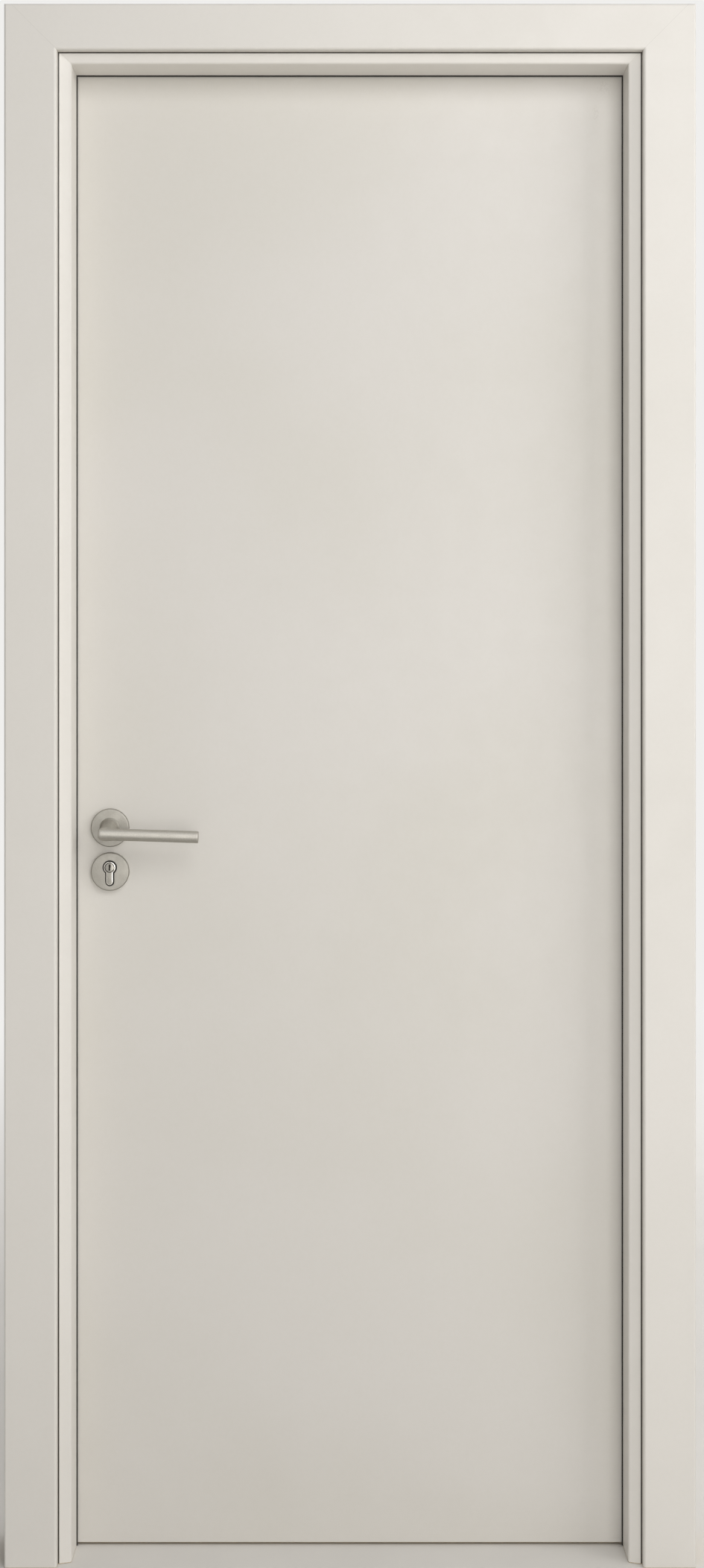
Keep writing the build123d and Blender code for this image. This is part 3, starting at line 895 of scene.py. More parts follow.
@dataclass
class Studio:
    """Camera, floor, backdrop and soft light."""

    lens: float = 45.78
    sensor: float = 36.0
    camera_place: Point = (-0.435, -2.720, 1.221)
    shift_x: float = 0.0083
    shift_y: float = -0.0734
    floor_reach: float = 9.0
    floor_drop: float = 0.5 * MM
    floor_colour: Colour = (226, 224, 220)
    floor_shade: Colour = (222, 220, 216)
    floor_roughness: float = 0.8
    backdrop_colour: Colour = (240, 239, 237)
    fade_start: float = 1.2
    fade_end: float = 4.5
    room_colour: Colour = (236, 236, 236)
    room_strength: float = 0.32
    lamps: tuple[Lamp, ...] = (
        Lamp("key light", (0.4, -2.6, 3.0), (-0.4, 0.0, 1.6), 1.6, 28.0, (255, 254, 253)),
        Lamp("side light", (2.5, -1.7, 2.3), (-0.2, 0.0, 1.5), 1.6, 36.0, (255, 253, 251)),
        Lamp("fill light", (0.2, -3.3, 0.9), (-0.5, 0.0, 0.7), 2.0, 32.0, (255, 252, 247)),
        Lamp("back light", (0.8, 3.6, 2.8), (-0.4, 0.1, 1.0), 3.2, 100.0, (255, 252, 248)),
    )

    def build(self) -> None:
        """Place the camera, the floor and the lights."""
        bpy.context.scene.view_settings.view_transform = "Standard"
        self.camera()
        self.floor()
        for lamp in self.lamps:
            lamp.hang()
        self.world()

    def camera(self) -> None:
        """Place the camera at the photograph's angle."""
        data = bpy.data.cameras.new("camera")
        data.lens, data.sensor_width = self.lens, self.sensor
        data.shift_x, data.shift_y = self.shift_x, self.shift_y
        eye = bpy.data.objects.new("camera", data)
        eye.location = self.camera_place
        eye.rotation_euler = (math.radians(90), 0.0, 0.0)
        bpy.context.scene.collection.objects.link(eye)
        bpy.context.scene.camera = eye

    def floor(self) -> None:
        """Lay the plain pale floor."""
        shape = bmesh.new()
        bmesh.ops.create_grid(shape, x_segments=1, y_segments=1, size=self.floor_reach)
        mesh = bpy.data.meshes.new("floor")
        shape.to_mesh(mesh)
        shape.free()
        finish = bpy.data.materials.new("pale floor")
        finish.use_nodes = True
        s = Shader(finish.node_tree)
        place = s.node("ShaderNodeTexCoord").outputs["Object"]
        grain = s.span(s.noise(place, 6.0, 4.0), 0.3, 0.7)
        colour = s.mix(grain, linear(self.floor_colour), linear(self.floor_shade))
        surface = s.node("ShaderNodeBsdfPrincipled", Base_Color=colour, Roughness=self.floor_roughness)
        glow = s.node("ShaderNodeEmission", Color=linear(self.backdrop_colour), Strength=1.0)
        far = s.distance(place, (0.0, 0.0, 0.0), (1.0, 1.0, 1.0))
        share = s.math("MULTIPLY", s.span(far, self.fade_start, self.fade_end), self.seen(s))
        mixed = s.node("ShaderNodeMixShader")
        for socket, source in zip(mixed.inputs, (share, surface.outputs["BSDF"], glow.outputs[0])):
            s.tree.links.new(source, socket)
        s.node("ShaderNodeOutputMaterial", Surface=mixed.outputs[0])
        mesh.materials.append(finish)
        ground = bpy.data.objects.new("floor", mesh)
        ground.location.z = -self.floor_drop
        bpy.context.scene.collection.objects.link(ground)

    @staticmethod
    def seen(s: Shader) -> bpy.types.NodeSocket:
        """Mask of the rays that show the backdrop: seen directly, off a shiny piece or through glass.

        Args:
            s: The shader to build it in.

        Returns:
            The mask's socket.
        """
        path = s.node("ShaderNodeLightPath").outputs
        direct = s.math("MAXIMUM", path["Is Camera Ray"], path["Is Transmission Ray"])
        return s.math("MAXIMUM", direct, path["Is Glossy Ray"])

    def world(self) -> None:
        """Fill the room with an even pale light and show a pale backdrop."""
        world = bpy.data.worlds.new("room light")
        bpy.context.scene.world = world
        world.use_nodes = True
        s = Shader(world.node_tree)
        room = s.node("ShaderNodeBackground", Color=linear(self.room_colour), Strength=self.room_strength)
        backdrop = s.node("ShaderNodeBackground", Color=linear(self.backdrop_colour), Strength=1.0)
        mixed = s.node("ShaderNodeMixShader")
        for socket, source in zip(mixed.inputs, (self.seen(s), room.outputs[0], backdrop.outputs[0])):
            s.tree.links.new(source, socket)
        s.node("ShaderNodeOutputWorld", Surface=mixed.outputs[0])


@dataclass
class FrameSet:
    """Jambs, casings and seals in their film and rubber."""

    places: DoorPlaces
    jamb_tone: FilmTone = FilmTone((229, 226, 221), (225, 222, 216), 0.42)
    casing_tone: FilmTone = FilmTone((226, 223, 218), (222, 219, 213), 0.42)
    tilt_depth: float = 5.0 * MM
    # How far behind the front face the rounded arris can reach
    arris_reach: float = 3.1 * MM
    # Points this near a cut count as on it
    cut_reach: float = 1e-7

    def build(self) -> None:
        """Dress the jambs, the casings and the seals."""
        p = self.places
        jamb = FilmFinish("jamb film", self.jamb_tone, RawSide.WALL, p, (p.opening_half, p.opening_top))
        for node in ("jamb_hinge_side", "jamb_lock_side", "head_jamb"):
            self.tilted_jamb(node, jamb)
        front = FilmFinish("front casing film", self.casing_tone, RawSide.FRONT_CASING_BACK, p,
                           (p.casing_inner_half, p.casing_inner_top))
        back = FilmFinish("back casing film", self.casing_tone, RawSide.BACK_CASING_BACK, p,
                          (p.back_inner_half, p.back_inner_top))
        for face, finish in ((Face.FRONT, front), (Face.BACK, back)):
            for side in ("hinge_side", "lock_side", "head"):
                dress(f"casing_{face.word}_{side}", finish)
        rubber = SealFinish()
        for side in ("hinge_side", "lock_side", "head"):
            dress(f"seal_{side}", rubber)

    def tilted_jamb(self, node: str, finish: Finish) -> None:
        """Replace a jamb by the same shape with its shown front strip tilted towards the opening.

        The strip falls from the casing's inner edge to the opening's corner, whose rounded arris moves back
        with it, and the strips of the three jambs meet in mitres.

        Args:
            node: The jamb's node.
            finish: Its finish.
        """
        p = self.places
        wide = p.casing_inner_half - p.opening_half
        tall = p.casing_inner_top - p.opening_top
        strip_back = p.wall_front + self.arris_reach
        shape = welded(node)
        cuts = [(Vector((0, 0, p.casing_inner_top)), Vector((0, 0, 1)))]
        for side in (1, -1):
            corner = Vector((p.middle_x + side * p.opening_half, 0, p.opening_top))
            cuts.append((corner, Vector((side * tall, 0, -wide)).normalized()))
            cuts.append((corner + Vector((side * wide, 0, 0)), Vector((1, 0, 0))))
        for place, normal in cuts:
            faces = [f for f in shape.faces if all(v.co.y < strip_back for v in f.verts)]
            edges = list({e for f in faces for e in f.edges})
            verts = list({v for f in faces for v in f.verts})
            bmesh.ops.bisect_plane(shape, geom=faces + edges + verts, dist=self.cut_reach, plane_co=place,
                                   plane_no=normal)
        for vert in [v for v in shape.verts if v.co.y < strip_back]:
            across = (abs(vert.co.x - p.middle_x) - p.opening_half) / wide
            out = max(across, (vert.co.z - p.opening_top) / tall)
            vert.co.y += self.tilt_depth * min(max(1 - out, 0.0), 1.0)
        piece = new_piece(f"{node}_finished", shape, finish, "frame", sharp_angle=12.0)
        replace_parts(piece, node)


@dataclass
class Leaf:
    """The flush leaf: film on both skins and on the edges, bare board inside."""

    places: DoorPlaces
    tone: FilmTone = FilmTone((219, 216, 211), (215, 212, 205), 0.44)

    def build(self) -> None:
        """Dress the skins, stiles, rails and core."""
        front = FilmFinish("leaf front film", self.tone, RawSide.ENDS, self.places, marks=True)
        film = FilmFinish("leaf film", self.tone, RawSide.ENDS, self.places)
        board = FilmFinish("leaf board", self.tone, RawSide.ALL, self.places)
        dress("leaf_front_skin", front)
        for node in ("leaf_back_skin", "leaf_hinge_stile", "leaf_lock_stile"):
            dress(node, film)
        for node in ("leaf_top_rail", "leaf_bottom_rail", "leaf_core"):
            dress(node, board)


@dataclass
class Screws:
    """Countersunk cross-recess screws, set flush in a flat face."""

    finish: Finish
    slot: str
    body: str
    head_radius: float = 3.9 * MM
    recess_arm: float = 2.3 * MM
    recess_width: float = 0.62 * MM
    recess_depth: float = 1.1 * MM
    recess_lip: float = 1.04
    recess_taper: float = 0.45
    lip_depth: float = 0.08 * MM
    crown: float = 0.25 * MM
    sunk: float = 0.35 * MM
    rim_height: float = 0.02 * MM
    # Shares of the head's radius and of the crown
    dome: tuple[Pair, ...] = ((0.93, 0.55), (0.72, 0.9))
    points: int = 64

    def set_in(self, name: str, place: Vector, outward: Vector, turn: float) -> bpy.types.Object:
        """Set one screw head in a face.

        Args:
            name: The piece's name.
            place: The centre of the head on the face.
            outward: The direction that the face looks in.
            turn: How far the cross recess is turned, in degrees.

        Returns:
            The screw head.
        """
        shape = bmesh.new()
        normal = outward.normalized()
        across = normal.orthogonal().normalized()
        upward = normal.cross(across)

        def ring(radius: Callable[[float], float], height: float) -> list[Vector]:
            """One closed ring at a height.

            Args:
                radius: The distance from the middle for each angle.
                height: How far above the face it lies.

            Returns:
                Its points.
            """
            points = []
            for i in range(self.points):
                angle = math.tau * i / self.points
                ray = across * math.cos(angle) + upward * math.sin(angle)
                points.append(place + normal * height + ray * radius(angle + math.radians(turn)))
            return points

        def cross(angle: float) -> float:
            """Distance from the middle to the cross recess's edge.

            Args:
                angle: The ray's angle.

            Returns:
                The distance in metres.
            """
            c, s = abs(math.cos(angle)), abs(math.sin(angle))
            major, minor = max(c, s), min(c, s)
            in_arm = self.recess_width / max(minor, TINY)
            return max(min(self.recess_arm / major, in_arm), self.recess_width / major)

        loops = [ring(lambda a: self.head_radius, height) for height in (-self.sunk, self.rim_height)]
        for radius_share, height_share in self.dome:
            loops.append(ring(lambda a: self.head_radius * radius_share, self.crown * height_share))
        loops.append(ring(lambda a: cross(a) * self.recess_lip, self.crown))
        loops.append(ring(cross, self.crown - self.lip_depth))
        loops.append(ring(lambda a: cross(a) * self.recess_taper, self.crown - self.recess_depth))
        add_loops(shape, loops)
        return new_piece(name, shape, self.finish, self.body)


@dataclass
class ButtHinge:
    """One butt hinge: eased plates and pin, with four countersunk screws in each plate."""

    name: str
    steel: Finish
    screw_steel: Finish
    screw_rows: tuple[float, ...] = (-0.040, -0.016, 0.016, 0.040)
    screw_sides: tuple[float, float] = (0.30, 0.62)
    first_turn: float = 17.0
    turn_step: float = 31.0
    seal_to_rebate: float = 16.1 * MM
    slot: str = "hinge_steel"

    def build(self) -> None:
        """Ease the plates and the pin and set the screws."""
        for half, body, facing in (("frame", "frame", -1.0), ("leaf", "leaf", 1.0)):
            node = f"hinge_{self.name}_{half}_plate"
            softened(node, self.steel, body)
            self.screws(node, half, body, facing)
        softened(f"hinge_{self.name}_pin", self.steel, "frame")

    def screws(self, node: str, half: str, body: str, facing: float) -> None:
        """Set the screws of one plate.

        Args:
            node: The plate's node.
            half: Which plate it is.
            body: The body that carries it.
            facing: The sign of the direction that the plate looks in along X.
        """
        low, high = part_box(node)
        plate_x = low.x if facing < 0 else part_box("leaf_front_skin")[1].x
        if half == "frame":
            plate_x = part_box("seal_hinge_side")[0].x + self.seal_to_rebate
        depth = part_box("leaf_back_skin")[1].y - low.y
        setter = Screws(self.screw_steel, self.slot, body)
        for row, offset in enumerate(self.screw_rows):
            share = self.screw_sides[row % 2]
            place = Vector((plate_x, low.y + depth * share, (low.z + high.z) / 2 + offset))
            setter.set_in(f"screw_hinge_{self.name}_{half}_{row + 1}", place, Vector((facing, 0, 0)),
                          self.first_turn + self.turn_step * row)


@dataclass(frozen=True)
class Profile:
    """Outline of a profile cylinder: a round head over a straight stem with a rounded foot."""

    head: float = 8.5 * MM
    stem_half: float = 5.0 * MM
    total: float = 33.0 * MM

    def grown(self, by: float) -> "Profile":
        """The outline moved outwards all round, or inwards where the measure is below zero."""
        return Profile(self.head + by, self.stem_half + by, self.total + 2 * by)

    def reach(self, angle: float) -> float:
        """Distance from the plug's centre to the outline.

        Args:
            angle: Measured from straight up.

        Returns:
            The distance in metres.
        """
        sine, cosine = abs(math.sin(angle)), math.cos(angle)
        foot = self.total - self.head - self.stem_half
        if cosine >= 0 or self.head * sine >= self.stem_half:
            return self.head
        along_side = self.stem_half / max(sine, TINY)
        if along_side * -cosine <= foot:
            return along_side
        return foot * -cosine + math.sqrt(max(self.stem_half ** 2 - (foot * sine) ** 2, 0.0))


@dataclass
class Rose:
    """A round rose with a softly rounded rim round a hole."""

    node: str
    face: Face
    finish: Finish
    hole: Callable[[float], float]
    hole_centre_z: float
    rim: float = 1.7 * MM
    hole_ease: float = 0.25 * MM
    samples: int = 192
    rim_steps: int = 6

    def build(self) -> bpy.types.Object:
        """Build the rose about its hole's centre.

        Returns:
            The rose, which stands for its node.
        """
        low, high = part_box(self.node)
        radius = (high.x - low.x) / 2
        centre = (low + high) / 2
        drop = centre.z - self.hole_centre_z
        back_y = high.y if self.face is Face.FRONT else low.y
        front_y = low.y if self.face is Face.FRONT else high.y
        inward = -float(self.face.value)
        angles = [math.tau * i / self.samples for i in range(self.samples)]

        def loop(reach: Callable[[float], float], depth: float) -> list[Vector]:
            """Points at a distance for each angle, at a depth behind the rose's face.

            Args:
                reach: The distance from the hole's centre for each angle.
                depth: How far behind the face they lie.

            Returns:
                The points.
            """
            return [Vector((centre.x + math.sin(a) * reach(a), front_y + inward * depth,
                            self.hole_centre_z + math.cos(a) * reach(a))) for a in angles]

        def disc(rho: float) -> Callable[[float], float]:
            """A circle about the rose's own centre, seen from the hole's centre.

            Args:
                rho: The circle's radius.

            Returns:
                The distance to it for each angle.
            """
            def reach(angle: float) -> float:
                """Distance to the circle along one ray."""
                towards = drop * math.cos(angle)
                return towards + math.sqrt(rho ** 2 - (drop * math.sin(angle)) ** 2)
            return reach

        thick = abs(back_y - front_y)
        loops = [loop(disc(radius), thick), loop(disc(radius), self.rim)]
        for step in range(1, self.rim_steps + 1):
            turn = math.pi / 2 * step / self.rim_steps
            rho = radius - self.rim * (1 - math.cos(turn))
            loops.append(loop(disc(rho), self.rim * (1 - math.sin(turn))))
        loops.append(loop(lambda a: self.hole(a) + self.hole_ease, 0.0))
        loops.append(loop(self.hole, self.hole_ease))
        loops.append(loop(self.hole, thick))
        shape = bmesh.new()
        add_loops(shape, loops, caps=False)
        piece = new_piece(f"{self.node}_finished", shape, self.finish, "leaf",
                          sharp_angle=40.0)
        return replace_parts(piece, self.node)


@dataclass
class Underlay:
    """The dark nylon bush that fills a cylinder rose and shows as a thin line round the cylinder; a real
    bush, made near black so that the line also serves as painted shade in the gap.
    """

    rose: str
    face: Face
    finish: Finish
    axis_z: float
    outer: Callable[[float], float]
    inner: Callable[[float], float]
    set_back: float = 1.1 * MM
    samples: int = 192

    def build(self) -> bpy.types.Object:
        """Build the bush.

        Returns:
            The bush, which rides on the leaf.
        """
        low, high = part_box(self.rose)
        centre_x = (low.x + high.x) / 2
        front, back = (low.y, high.y) if self.face is Face.FRONT else (high.y, low.y)
        shown = front - self.face.value * self.set_back
        angles = [math.tau * i / self.samples for i in range(self.samples)]
        corners = ((self.outer, shown), (self.outer, back), (self.inner, back), (self.inner, shown))
        loops = [[Vector((centre_x + math.sin(a) * reach(a), y, self.axis_z + math.cos(a) * reach(a)))
                  for a in angles] for reach, y in corners]
        shape = bmesh.new()
        add_loops(shape, loops, caps=False)
        name = f"cylinder_bush_{self.face.word}"
        return new_piece(name, shape, self.finish, "leaf", sharp_angle=40.0)


@dataclass
class Cylinder:
    """Profile cylinder with rounded ends, and a plug with a shaped keyway in each; bright and near-black
    copies of its metal paint a highlight on the rounded edge and shade in the recesses.
    """

    face_metal: Finish
    highlight_metal: Finish
    shade_metal: Finish
    profile: Profile = Profile()
    edge: float = 1.4 * MM
    edge_steps: int = 5
    highlight_depth: float = 0.5 * MM
    plug_radius: float = 6.5 * MM
    plug_set_back: float = 0.3 * MM
    plug_face_depth: float = 0.2 * MM
    plug_face_inset: float = 0.5 * MM
    # Depth behind the plug's face and inset from its radius
    plug_rim: tuple[Pair, ...] = ((12.0 * MM, 0.0), (0.4 * MM, 0.0), (0.1 * MM, 0.2 * MM), (0.0, 0.6 * MM))
    # Half width of the ring of painted shade at the plug's joint
    joint_shade_half: float = 0.6 * MM
    bore_radius: float = 6.56 * MM
    bore_depth: float = 12.0 * MM
    bore_ease: float = 0.35 * MM
    bore_margin: float = 0.3 * MM
    face_margin: float = 0.01 * MM
    keyway_half: float = 1.25 * MM
    keyway_reach: float = 4.25 * MM
    keyway_depth: float = 8.0 * MM
    keyway_mouth: float = 1.18
    keyway_ease: float = 0.25 * MM
    ward_share: float = 0.62
    samples: int = 240

    def build(self) -> None:
        """Build the body and both plugs."""
        low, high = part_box("key_cylinder")
        centre = middle("cylinder_plug_front")
        loops = []
        ends = ((low.y, 1.0), (high.y, -1.0))
        for end_y, inward in ends:
            one = [
                self.loop(centre, end_y + inward * self.bore_depth, lambda a: self.bore_radius),
                self.loop(centre, end_y + inward * self.bore_ease, lambda a: self.bore_radius),
                self.loop(centre, end_y, lambda a: self.bore_radius + self.bore_ease),
            ]
            for step in range(self.edge_steps + 1):
                turn = math.pi / 2 * step / self.edge_steps
                inset = self.edge * (1 - math.sin(turn))
                depth = self.edge * (1 - math.cos(turn))
                one.append(self.loop(centre, end_y + inward * depth, self.profile.grown(-inset).reach))
            loops.extend(one if inward > 0 else reversed(one))
        shape = bmesh.new()
        add_loops(shape, loops)
        # Painted light: a bright copy of the metal on the outer part of each rounded edge as a painted
        # highlight; a near-black copy on the rest of the edge, the outside wall and the bore as painted shade
        highlight_slot, shade_slot = 1, 2
        for patch in shape.faces:
            place = patch.calc_center_median()
            depth = min(place.y - low.y, high.y - place.y)
            in_bore = (place - centre).xz.length < self.bore_radius + self.bore_margin
            if in_bore or depth > self.highlight_depth:
                patch.material_index = shade_slot
            elif depth > self.face_margin:
                patch.material_index = highlight_slot
        piece = new_piece("key_cylinder_finished", shape, self.face_metal, "leaf",
                          sharp_angle=35.0)
        for metal in (self.highlight_metal, self.shade_metal):
            piece.data.materials.append(metal.material)
        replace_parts(piece, "key_cylinder")
        for face, (end_y, inward) in zip(Face, ends):
            self.plug(face, centre, end_y, inward)

    def loop(self, centre: Vector, y: float, reach: Callable[[float], float]) -> list[Vector]:
        """Points about the plug's axis at one depth.

        Args:
            centre: The axis.
            y: The depth.
            reach: Distance from the axis for each angle.

        Returns:
            The points.
        """
        points = []
        for i in range(self.samples):
            angle = math.tau * i / self.samples
            r = reach(angle)
            points.append(Vector((centre.x + math.sin(angle) * r, y, centre.z + math.cos(angle) * r)))
        return points

    def keyway(self, share: float) -> Callable[[float], float]:
        """Outline of the keyway: a slot with a warding step down one side.

        Args:
            share: What its size is multiplied by.

        Returns:
            The distance from the plug's axis for each angle.
        """
        def reach(angle: float) -> float:
            """Distance to the slot's edge along one ray.

            Args:
                angle: Measured from straight up.

            Returns:
                The distance in metres.
            """
            sine, cosine = math.sin(angle), math.cos(angle)
            height = self.keyway_reach / max(abs(cosine), TINY)
            half = self.keyway_half * (self.ward_share if sine > 0 and cosine < 0.1 else 1.0)
            return min(height, half / max(abs(sine), TINY)) * share
        return reach

    def plug(self, face: Face, centre: Vector, end_y: float, inward: float) -> None:
        """Build one plug with its keyway.

        Args:
            face: The face that it shows on.
            centre: A point on its axis.
            end_y: The cylinder's end.
            inward: The sign of the direction into the leaf.
        """
        front = end_y + inward * self.plug_set_back
        loops = [self.loop(centre, front + inward * depth, lambda a: self.plug_radius - inset)
                 for depth, inset in self.plug_rim]
        loops.append(self.loop(centre, front, self.keyway(self.keyway_mouth)))
        loops.append(self.loop(centre, front + inward * self.keyway_ease, self.keyway(1.0)))
        loops.append(self.loop(centre, front + inward * self.keyway_depth, self.keyway(1.0)))
        shape = bmesh.new()
        add_loops(shape, loops)
        # Painted shade: the plug's outer rim and the keyway's deeper faces get the near-black copy of the
        # metal
        for patch in shape.faces:
            place = patch.calc_center_median()
            deep = (place.y - front) * inward > self.plug_face_depth
            rim = (place - centre).xz.length > self.plug_radius - self.plug_face_inset
            patch.material_index = int(deep or rim)
        name = f"cylinder_plug_{face.word}"
        piece = new_piece(f"{name}_finished", shape, self.face_metal, "leaf",
                          sharp_angle=35.0)
        piece.data.materials.append(self.shade_metal.material)
        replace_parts(piece, name)


@dataclass
class Lever:
    """One lever: a round bar that blends into a neck with a flared foot."""

    face: Face
    finish: Finish
    bar_radius: float = 8.2 * MM
    root_radius: float = 11.6 * MM
    waist_radius: float = 8.0 * MM
    flare_radius: float = 14.5 * MM
    flare_length: float = 8.0 * MM
    standoff: float = 50.0 * MM
    overhang: float = 11.0 * MM
    reach: float = 126.0 * MM
    drop: float = 5.5 * MM
    droop: float = math.radians(1.8)
    left_edge: float = 3.6 * MM
    tip_edge: float = 1.0 * MM
    foot_edge: float = 0.9 * MM
    foot_gap: float = 0.3 * MM
    flare_power: float = 2.2
    blend: float = 5.0 * MM
    blank_flare: float = 0.6
    blank_sides: int = 48
    voxel: float = 0.85 * MM
    closing_steps: int = 8
    probe: float = 0.02 * MM
    least_slope: float = 0.25
    longest_move: float = 1.0 * MM
    spigot_outer: float = 9.93 * MM
    spigot_inner: float = 5.9 * MM
    spigot_depth: float = 9.0 * MM
    spigot_overlap: float = 0.5 * MM
    spigot_sides: int = 64

    def places(self) -> tuple[Vector, Vector, float, float]:
        """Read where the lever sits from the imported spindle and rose.

        Returns:
            The foot's centre on the rose, the bar's start, the bar's length and the outward sign.
        """
        outward = float(self.face.value)
        spindle = middle("spindle")
        low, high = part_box(f"handle_rose_{self.face.word}")
        rose_y = low.y if self.face is Face.FRONT else high.y
        leaf_y = high.y if self.face is Face.FRONT else low.y
        foot = Vector((spindle.x, rose_y + outward * self.foot_gap, spindle.z))
        start = Vector((spindle.x - self.overhang, leaf_y + outward * self.standoff,
                        spindle.z - self.drop + self.overhang * math.tan(self.droop)))
        return foot, start, self.overhang + self.reach, outward

    def distance(self, points: np.ndarray) -> np.ndarray:
        """Signed distance from points to the lever's skin.

        Args:
            points: An array of places, one a row.

        Returns:
            One distance a point, below zero inside.
        """
        foot, start, length, outward = self.places()
        axis = np.array((math.cos(self.droop), 0.0, -math.sin(self.droop)))
        from_start = points - np.array(start)
        along = from_start @ axis
        aside = np.linalg.norm(from_start - along[:, None] * axis, axis=1)
        edge = np.where(along < length / 2, self.left_edge, self.tip_edge)
        over_side = aside - self.bar_radius + edge
        over_end = np.abs(along - length / 2) - length / 2 + edge
        outside = np.hypot(np.maximum(over_side, 0), np.maximum(over_end, 0))
        bar = outside + np.minimum(np.maximum(over_side, over_end), 0) - edge
        neck_out = abs(start.y - foot.y)
        out = (points[:, 1] - foot.y) * outward
        share = np.clip(out / neck_out, 0, 1)
        centre_z = foot.z - self.drop * share
        radial = np.hypot(points[:, 0] - foot.x, points[:, 2] - centre_z)
        flare_share = np.clip(1 - out / self.flare_length, 0, 1) ** self.flare_power
        flare = (self.flare_radius - self.root_radius) * flare_share
        wanted = self.root_radius + (self.waist_radius - self.root_radius) * share + flare
        over_wall, over_foot = radial - wanted + self.foot_edge, self.foot_edge - out
        rounded = np.hypot(np.maximum(over_wall, 0), np.maximum(over_foot, 0))
        rounded += np.minimum(np.maximum(over_wall, over_foot), 0) - self.foot_edge
        neck = np.maximum(rounded, out - neck_out)
        mixed = np.clip(0.5 + 0.5 * (neck - bar) / self.blend, 0, 1)
        return neck * (1 - mixed) + bar * mixed - self.blend * mixed * (1 - mixed)

    def build(self) -> bpy.types.Object:
        """Build the lever by closing a fine skin on its distance field.

        Returns:
            The lever, which stands for its node.
        """
        foot, start, length, outward = self.places()
        rough = bmesh.new()
        tip = start + Vector((math.cos(self.droop), 0, -math.sin(self.droop))) * length
        waist = Vector((foot.x, start.y, foot.z - self.drop))
        flared = foot + Vector((0, outward * self.flare_length * self.blank_flare, 0))
        self.tube(rough, start, tip, self.bar_radius, self.bar_radius)
        self.tube(rough, foot, waist, self.root_radius, self.waist_radius)
        self.tube(rough, foot, flared, self.flare_radius, self.root_radius)
        mesh = bpy.data.meshes.new("lever_rough")
        rough.to_mesh(mesh)
        rough.free()
        blank = bpy.data.objects.new("lever_rough", mesh)
        bpy.context.scene.collection.objects.link(blank)
        skin = blank.modifiers.new("skin", "REMESH")
        skin.mode, skin.voxel_size = "VOXEL", self.voxel
        evaluated = blank.evaluated_get(bpy.context.evaluated_depsgraph_get())
        shape = bmesh.new()
        shape.from_mesh(evaluated.to_mesh())
        bpy.data.objects.remove(blank)
        self.close_on(shape)
        self.spigot(shape, foot, outward)
        name = f"lever_{self.face.word}"
        piece = new_piece(f"{name}_finished", shape, self.finish, "handle", sharp_angle=60.0)
        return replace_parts(piece, name)

    def close_on(self, shape: bmesh.types.BMesh) -> None:
        """Move every point of a rough skin on to the lever's surface.

        Args:
            shape: The rough skin.
        """
        bmesh.ops.smooth_vert(shape, verts=shape.verts, factor=0.5, use_axis_x=True, use_axis_y=True,
                              use_axis_z=True)
        points = np.array([v.co for v in shape.verts], float)
        step = self.probe
        for _ in range(self.closing_steps):
            away = self.distance(points)
            slope = np.stack([(self.distance(points + step * unit) - self.distance(points - step * unit))
                              / (2 * step) for unit in np.eye(3)], axis=1)
            steep = np.maximum((slope ** 2).sum(1), self.least_slope)
            points -= slope * np.clip(away / steep, -self.longest_move, self.longest_move)[:, None]
        for vert, point in zip(shape.verts, points):
            vert.co = point

    def tube(self, shape: bmesh.types.BMesh, start: Vector, end: Vector, first: float, last: float) -> None:
        """Add a plain closed cone between two points.

        Args:
            shape: The mesh to add to.
            start: The middle of its first end.
            end: The middle of its last end.
            first: The radius at the first end.
            last: The radius at the last end.
        """
        axis = (end - start).normalized()
        across = axis.orthogonal().normalized()
        upward = axis.cross(across)
        angles = [math.tau * i / self.blank_sides for i in range(self.blank_sides)]
        rays = [across * math.cos(a) + upward * math.sin(a) for a in angles]
        add_loops(shape, [[centre + ray * r for ray in rays] for centre, r in ((start, first), (end, last))])

    def spigot(self, shape: bmesh.types.BMesh, foot: Vector, outward: float) -> None:
        """Add the ring that turns in the rose.

        Args:
            shape: The lever's mesh.
            foot: The foot's centre on the rose.
            outward: The sign of the direction away from the leaf.
        """
        corners = ((self.spigot_outer, self.spigot_overlap), (self.spigot_outer, -self.spigot_depth),
                   (self.spigot_inner, -self.spigot_depth), (self.spigot_inner, self.spigot_overlap))
        angles = [math.tau * i / self.spigot_sides for i in range(self.spigot_sides)]
        loops = [[foot + Vector((math.cos(a) * r, outward * out, math.sin(a) * r)) for a in angles]
                 for r, out in corners]
        add_loops(shape, loops, caps=False)


@dataclass
class Mortice:
    """Faceplate, case, bolts and strike plate of the lock, with their screws."""

    plate_steel: Finish
    case_steel: Finish
    screw_steel: Finish
    screw_margin: float = 11.0 * MM
    upper_turn: float = 12.0
    lower_turn: float = 58.0
    slot: str = "lock_steel"

    def build(self) -> None:
        """Ease and dress the lock's pieces and set its screws."""
        for node in ("lock_faceplate", "latch_bolt", "deadbolt"):
            softened(node, self.plate_steel, "leaf")
        softened("strike_plate", self.plate_steel, "frame")
        dress("lock_case", self.case_steel)
        dress("spindle", self.case_steel)
        self.plate_screws("lock_faceplate", "leaf", -1.0)
        self.plate_screws("strike_plate", "frame", 1.0)

    def plate_screws(self, node: str, body: str, facing: float) -> None:
        """Set a screw near each end of a plate.

        Args:
            node: The plate's node.
            body: The body that carries it.
            facing: The sign of the direction that the plate looks in along X.
        """
        low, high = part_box(node)
        plate_x = low.x if facing < 0 else high.x
        setter = Screws(self.screw_steel, self.slot, body)
        ends = (("upper", high.z - self.screw_margin, self.upper_turn),
                ("lower", low.z + self.screw_margin, self.lower_turn))
        for label, z, turn in ends:
            place = Vector((plate_x, (low.y + high.y) / 2, z))
            setter.set_in(f"screw_{node}_{label}", place, Vector((facing, 0, 0)), turn)


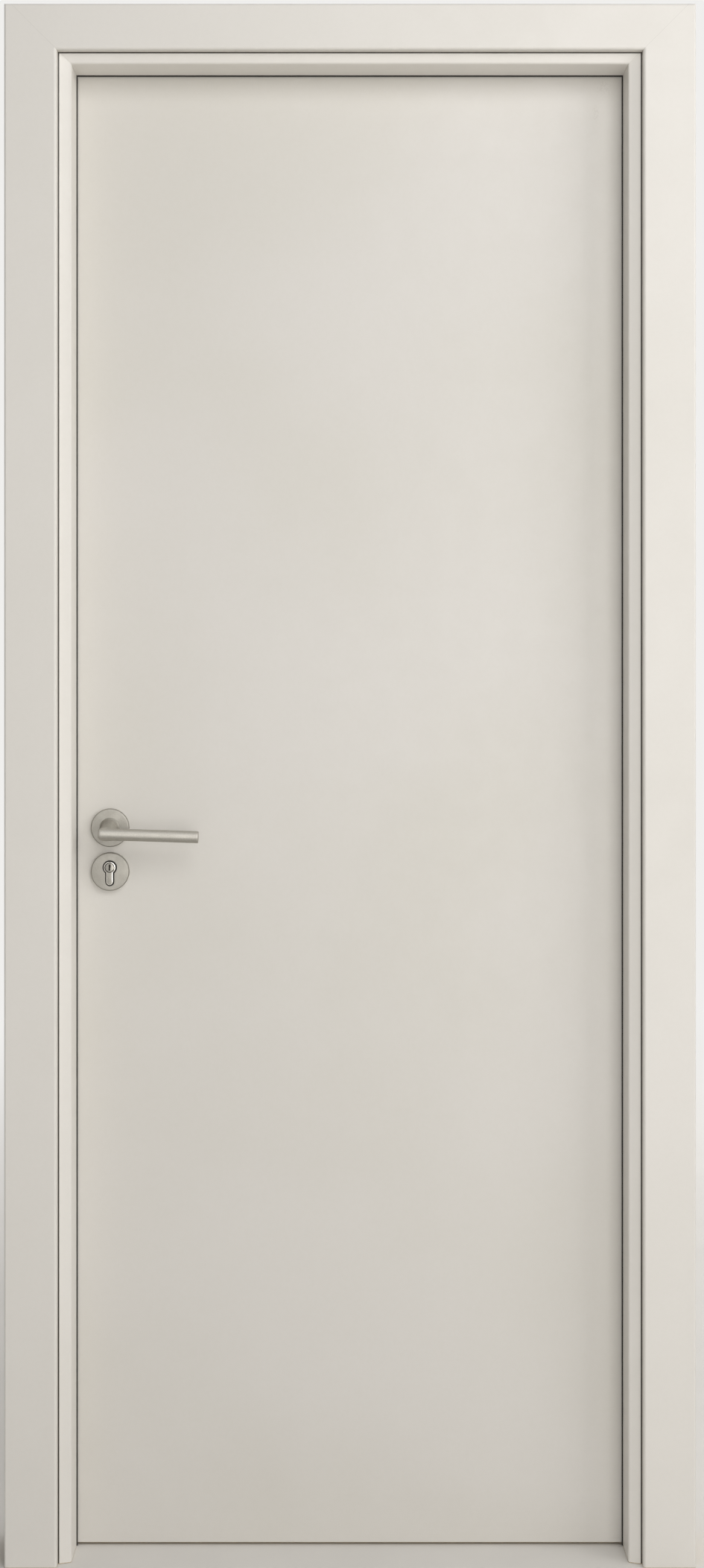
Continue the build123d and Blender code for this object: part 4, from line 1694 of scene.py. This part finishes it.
@dataclass
class Furniture:
    """Roses, bush and lever on one face of the leaf."""

    face: Face
    lever_metal: Finish
    rose_metal: Finish
    nylon: Finish
    handle_hole: float = 10.0 * MM
    profile: Profile = Profile()
    rose_clearance: float = 1.3 * MM
    bush_clearance: float = 0.1 * MM

    def build(self) -> None:
        """Build the face's furniture."""
        spindle_z, plug_z = middle("spindle").z, middle("cylinder_plug_front").z
        handle_rose, cylinder_rose = f"handle_rose_{self.face.word}", f"cylinder_rose_{self.face.word}"
        outer = self.profile.grown(self.rose_clearance).reach
        inner = self.profile.grown(self.bush_clearance).reach
        Rose(handle_rose, self.face, self.rose_metal, lambda a: self.handle_hole, spindle_z).build()
        Rose(cylinder_rose, self.face, self.rose_metal, outer, plug_z).build()
        Underlay(cylinder_rose, self.face, self.nylon, plug_z, outer, inner).build()
        Lever(self.face, self.lever_metal).build()


def build_effects() -> None:
    """Build the shader groups that the finishes share."""
    EFFECTS["film"] = film_effect()
    EFFECTS["brushing"] = brushing_effect()
    EFFECTS["dust"] = dust_effect()


def main() -> None:
    """Build every sub-assembly in order and report each one."""
    logging.basicConfig(level=logging.INFO, format="%(name)s: %(message)s")
    build_effects()
    places = DoorPlaces.measured()
    metal = {name: MetalFinish(name) for name in METALS}
    # Painted shade: a dark ring on the turned nickel at the plug's joint
    plug_joint_shade = (tuple(middle("cylinder_plug_front")), Cylinder.plug_radius, Cylinder.joint_shade_half)
    metal["fine turned nickel"] = MetalFinish("fine turned nickel", plug_joint_shade)
    nylon = NylonFinish()
    Studio().build()
    log.info("studio placed")
    FrameSet(places).build()
    log.info("jambs, casings and seals dressed")
    Leaf(places).build()
    log.info("leaf dressed")
    for name in ("top", "middle", "bottom"):
        ButtHinge(name, metal["brushed hinge steel"], metal["screw steel"]).build()
        log.info("%s hinge built", name)
    Mortice(metal["plated lock steel"], metal["zinc case"], metal["screw steel"]).build()
    log.info("lock built")
    Cylinder(metal["fine turned nickel"], metal["polished nickel"], metal["shade-painted nickel"]).build()
    log.info("cylinder built")
    for face in Face:
        Furniture(face, metal["satin nickel"], metal["satin nickel rose"], nylon).build()
        log.info("%s furniture built", face.word)


if __name__ == "__main__":
    main()
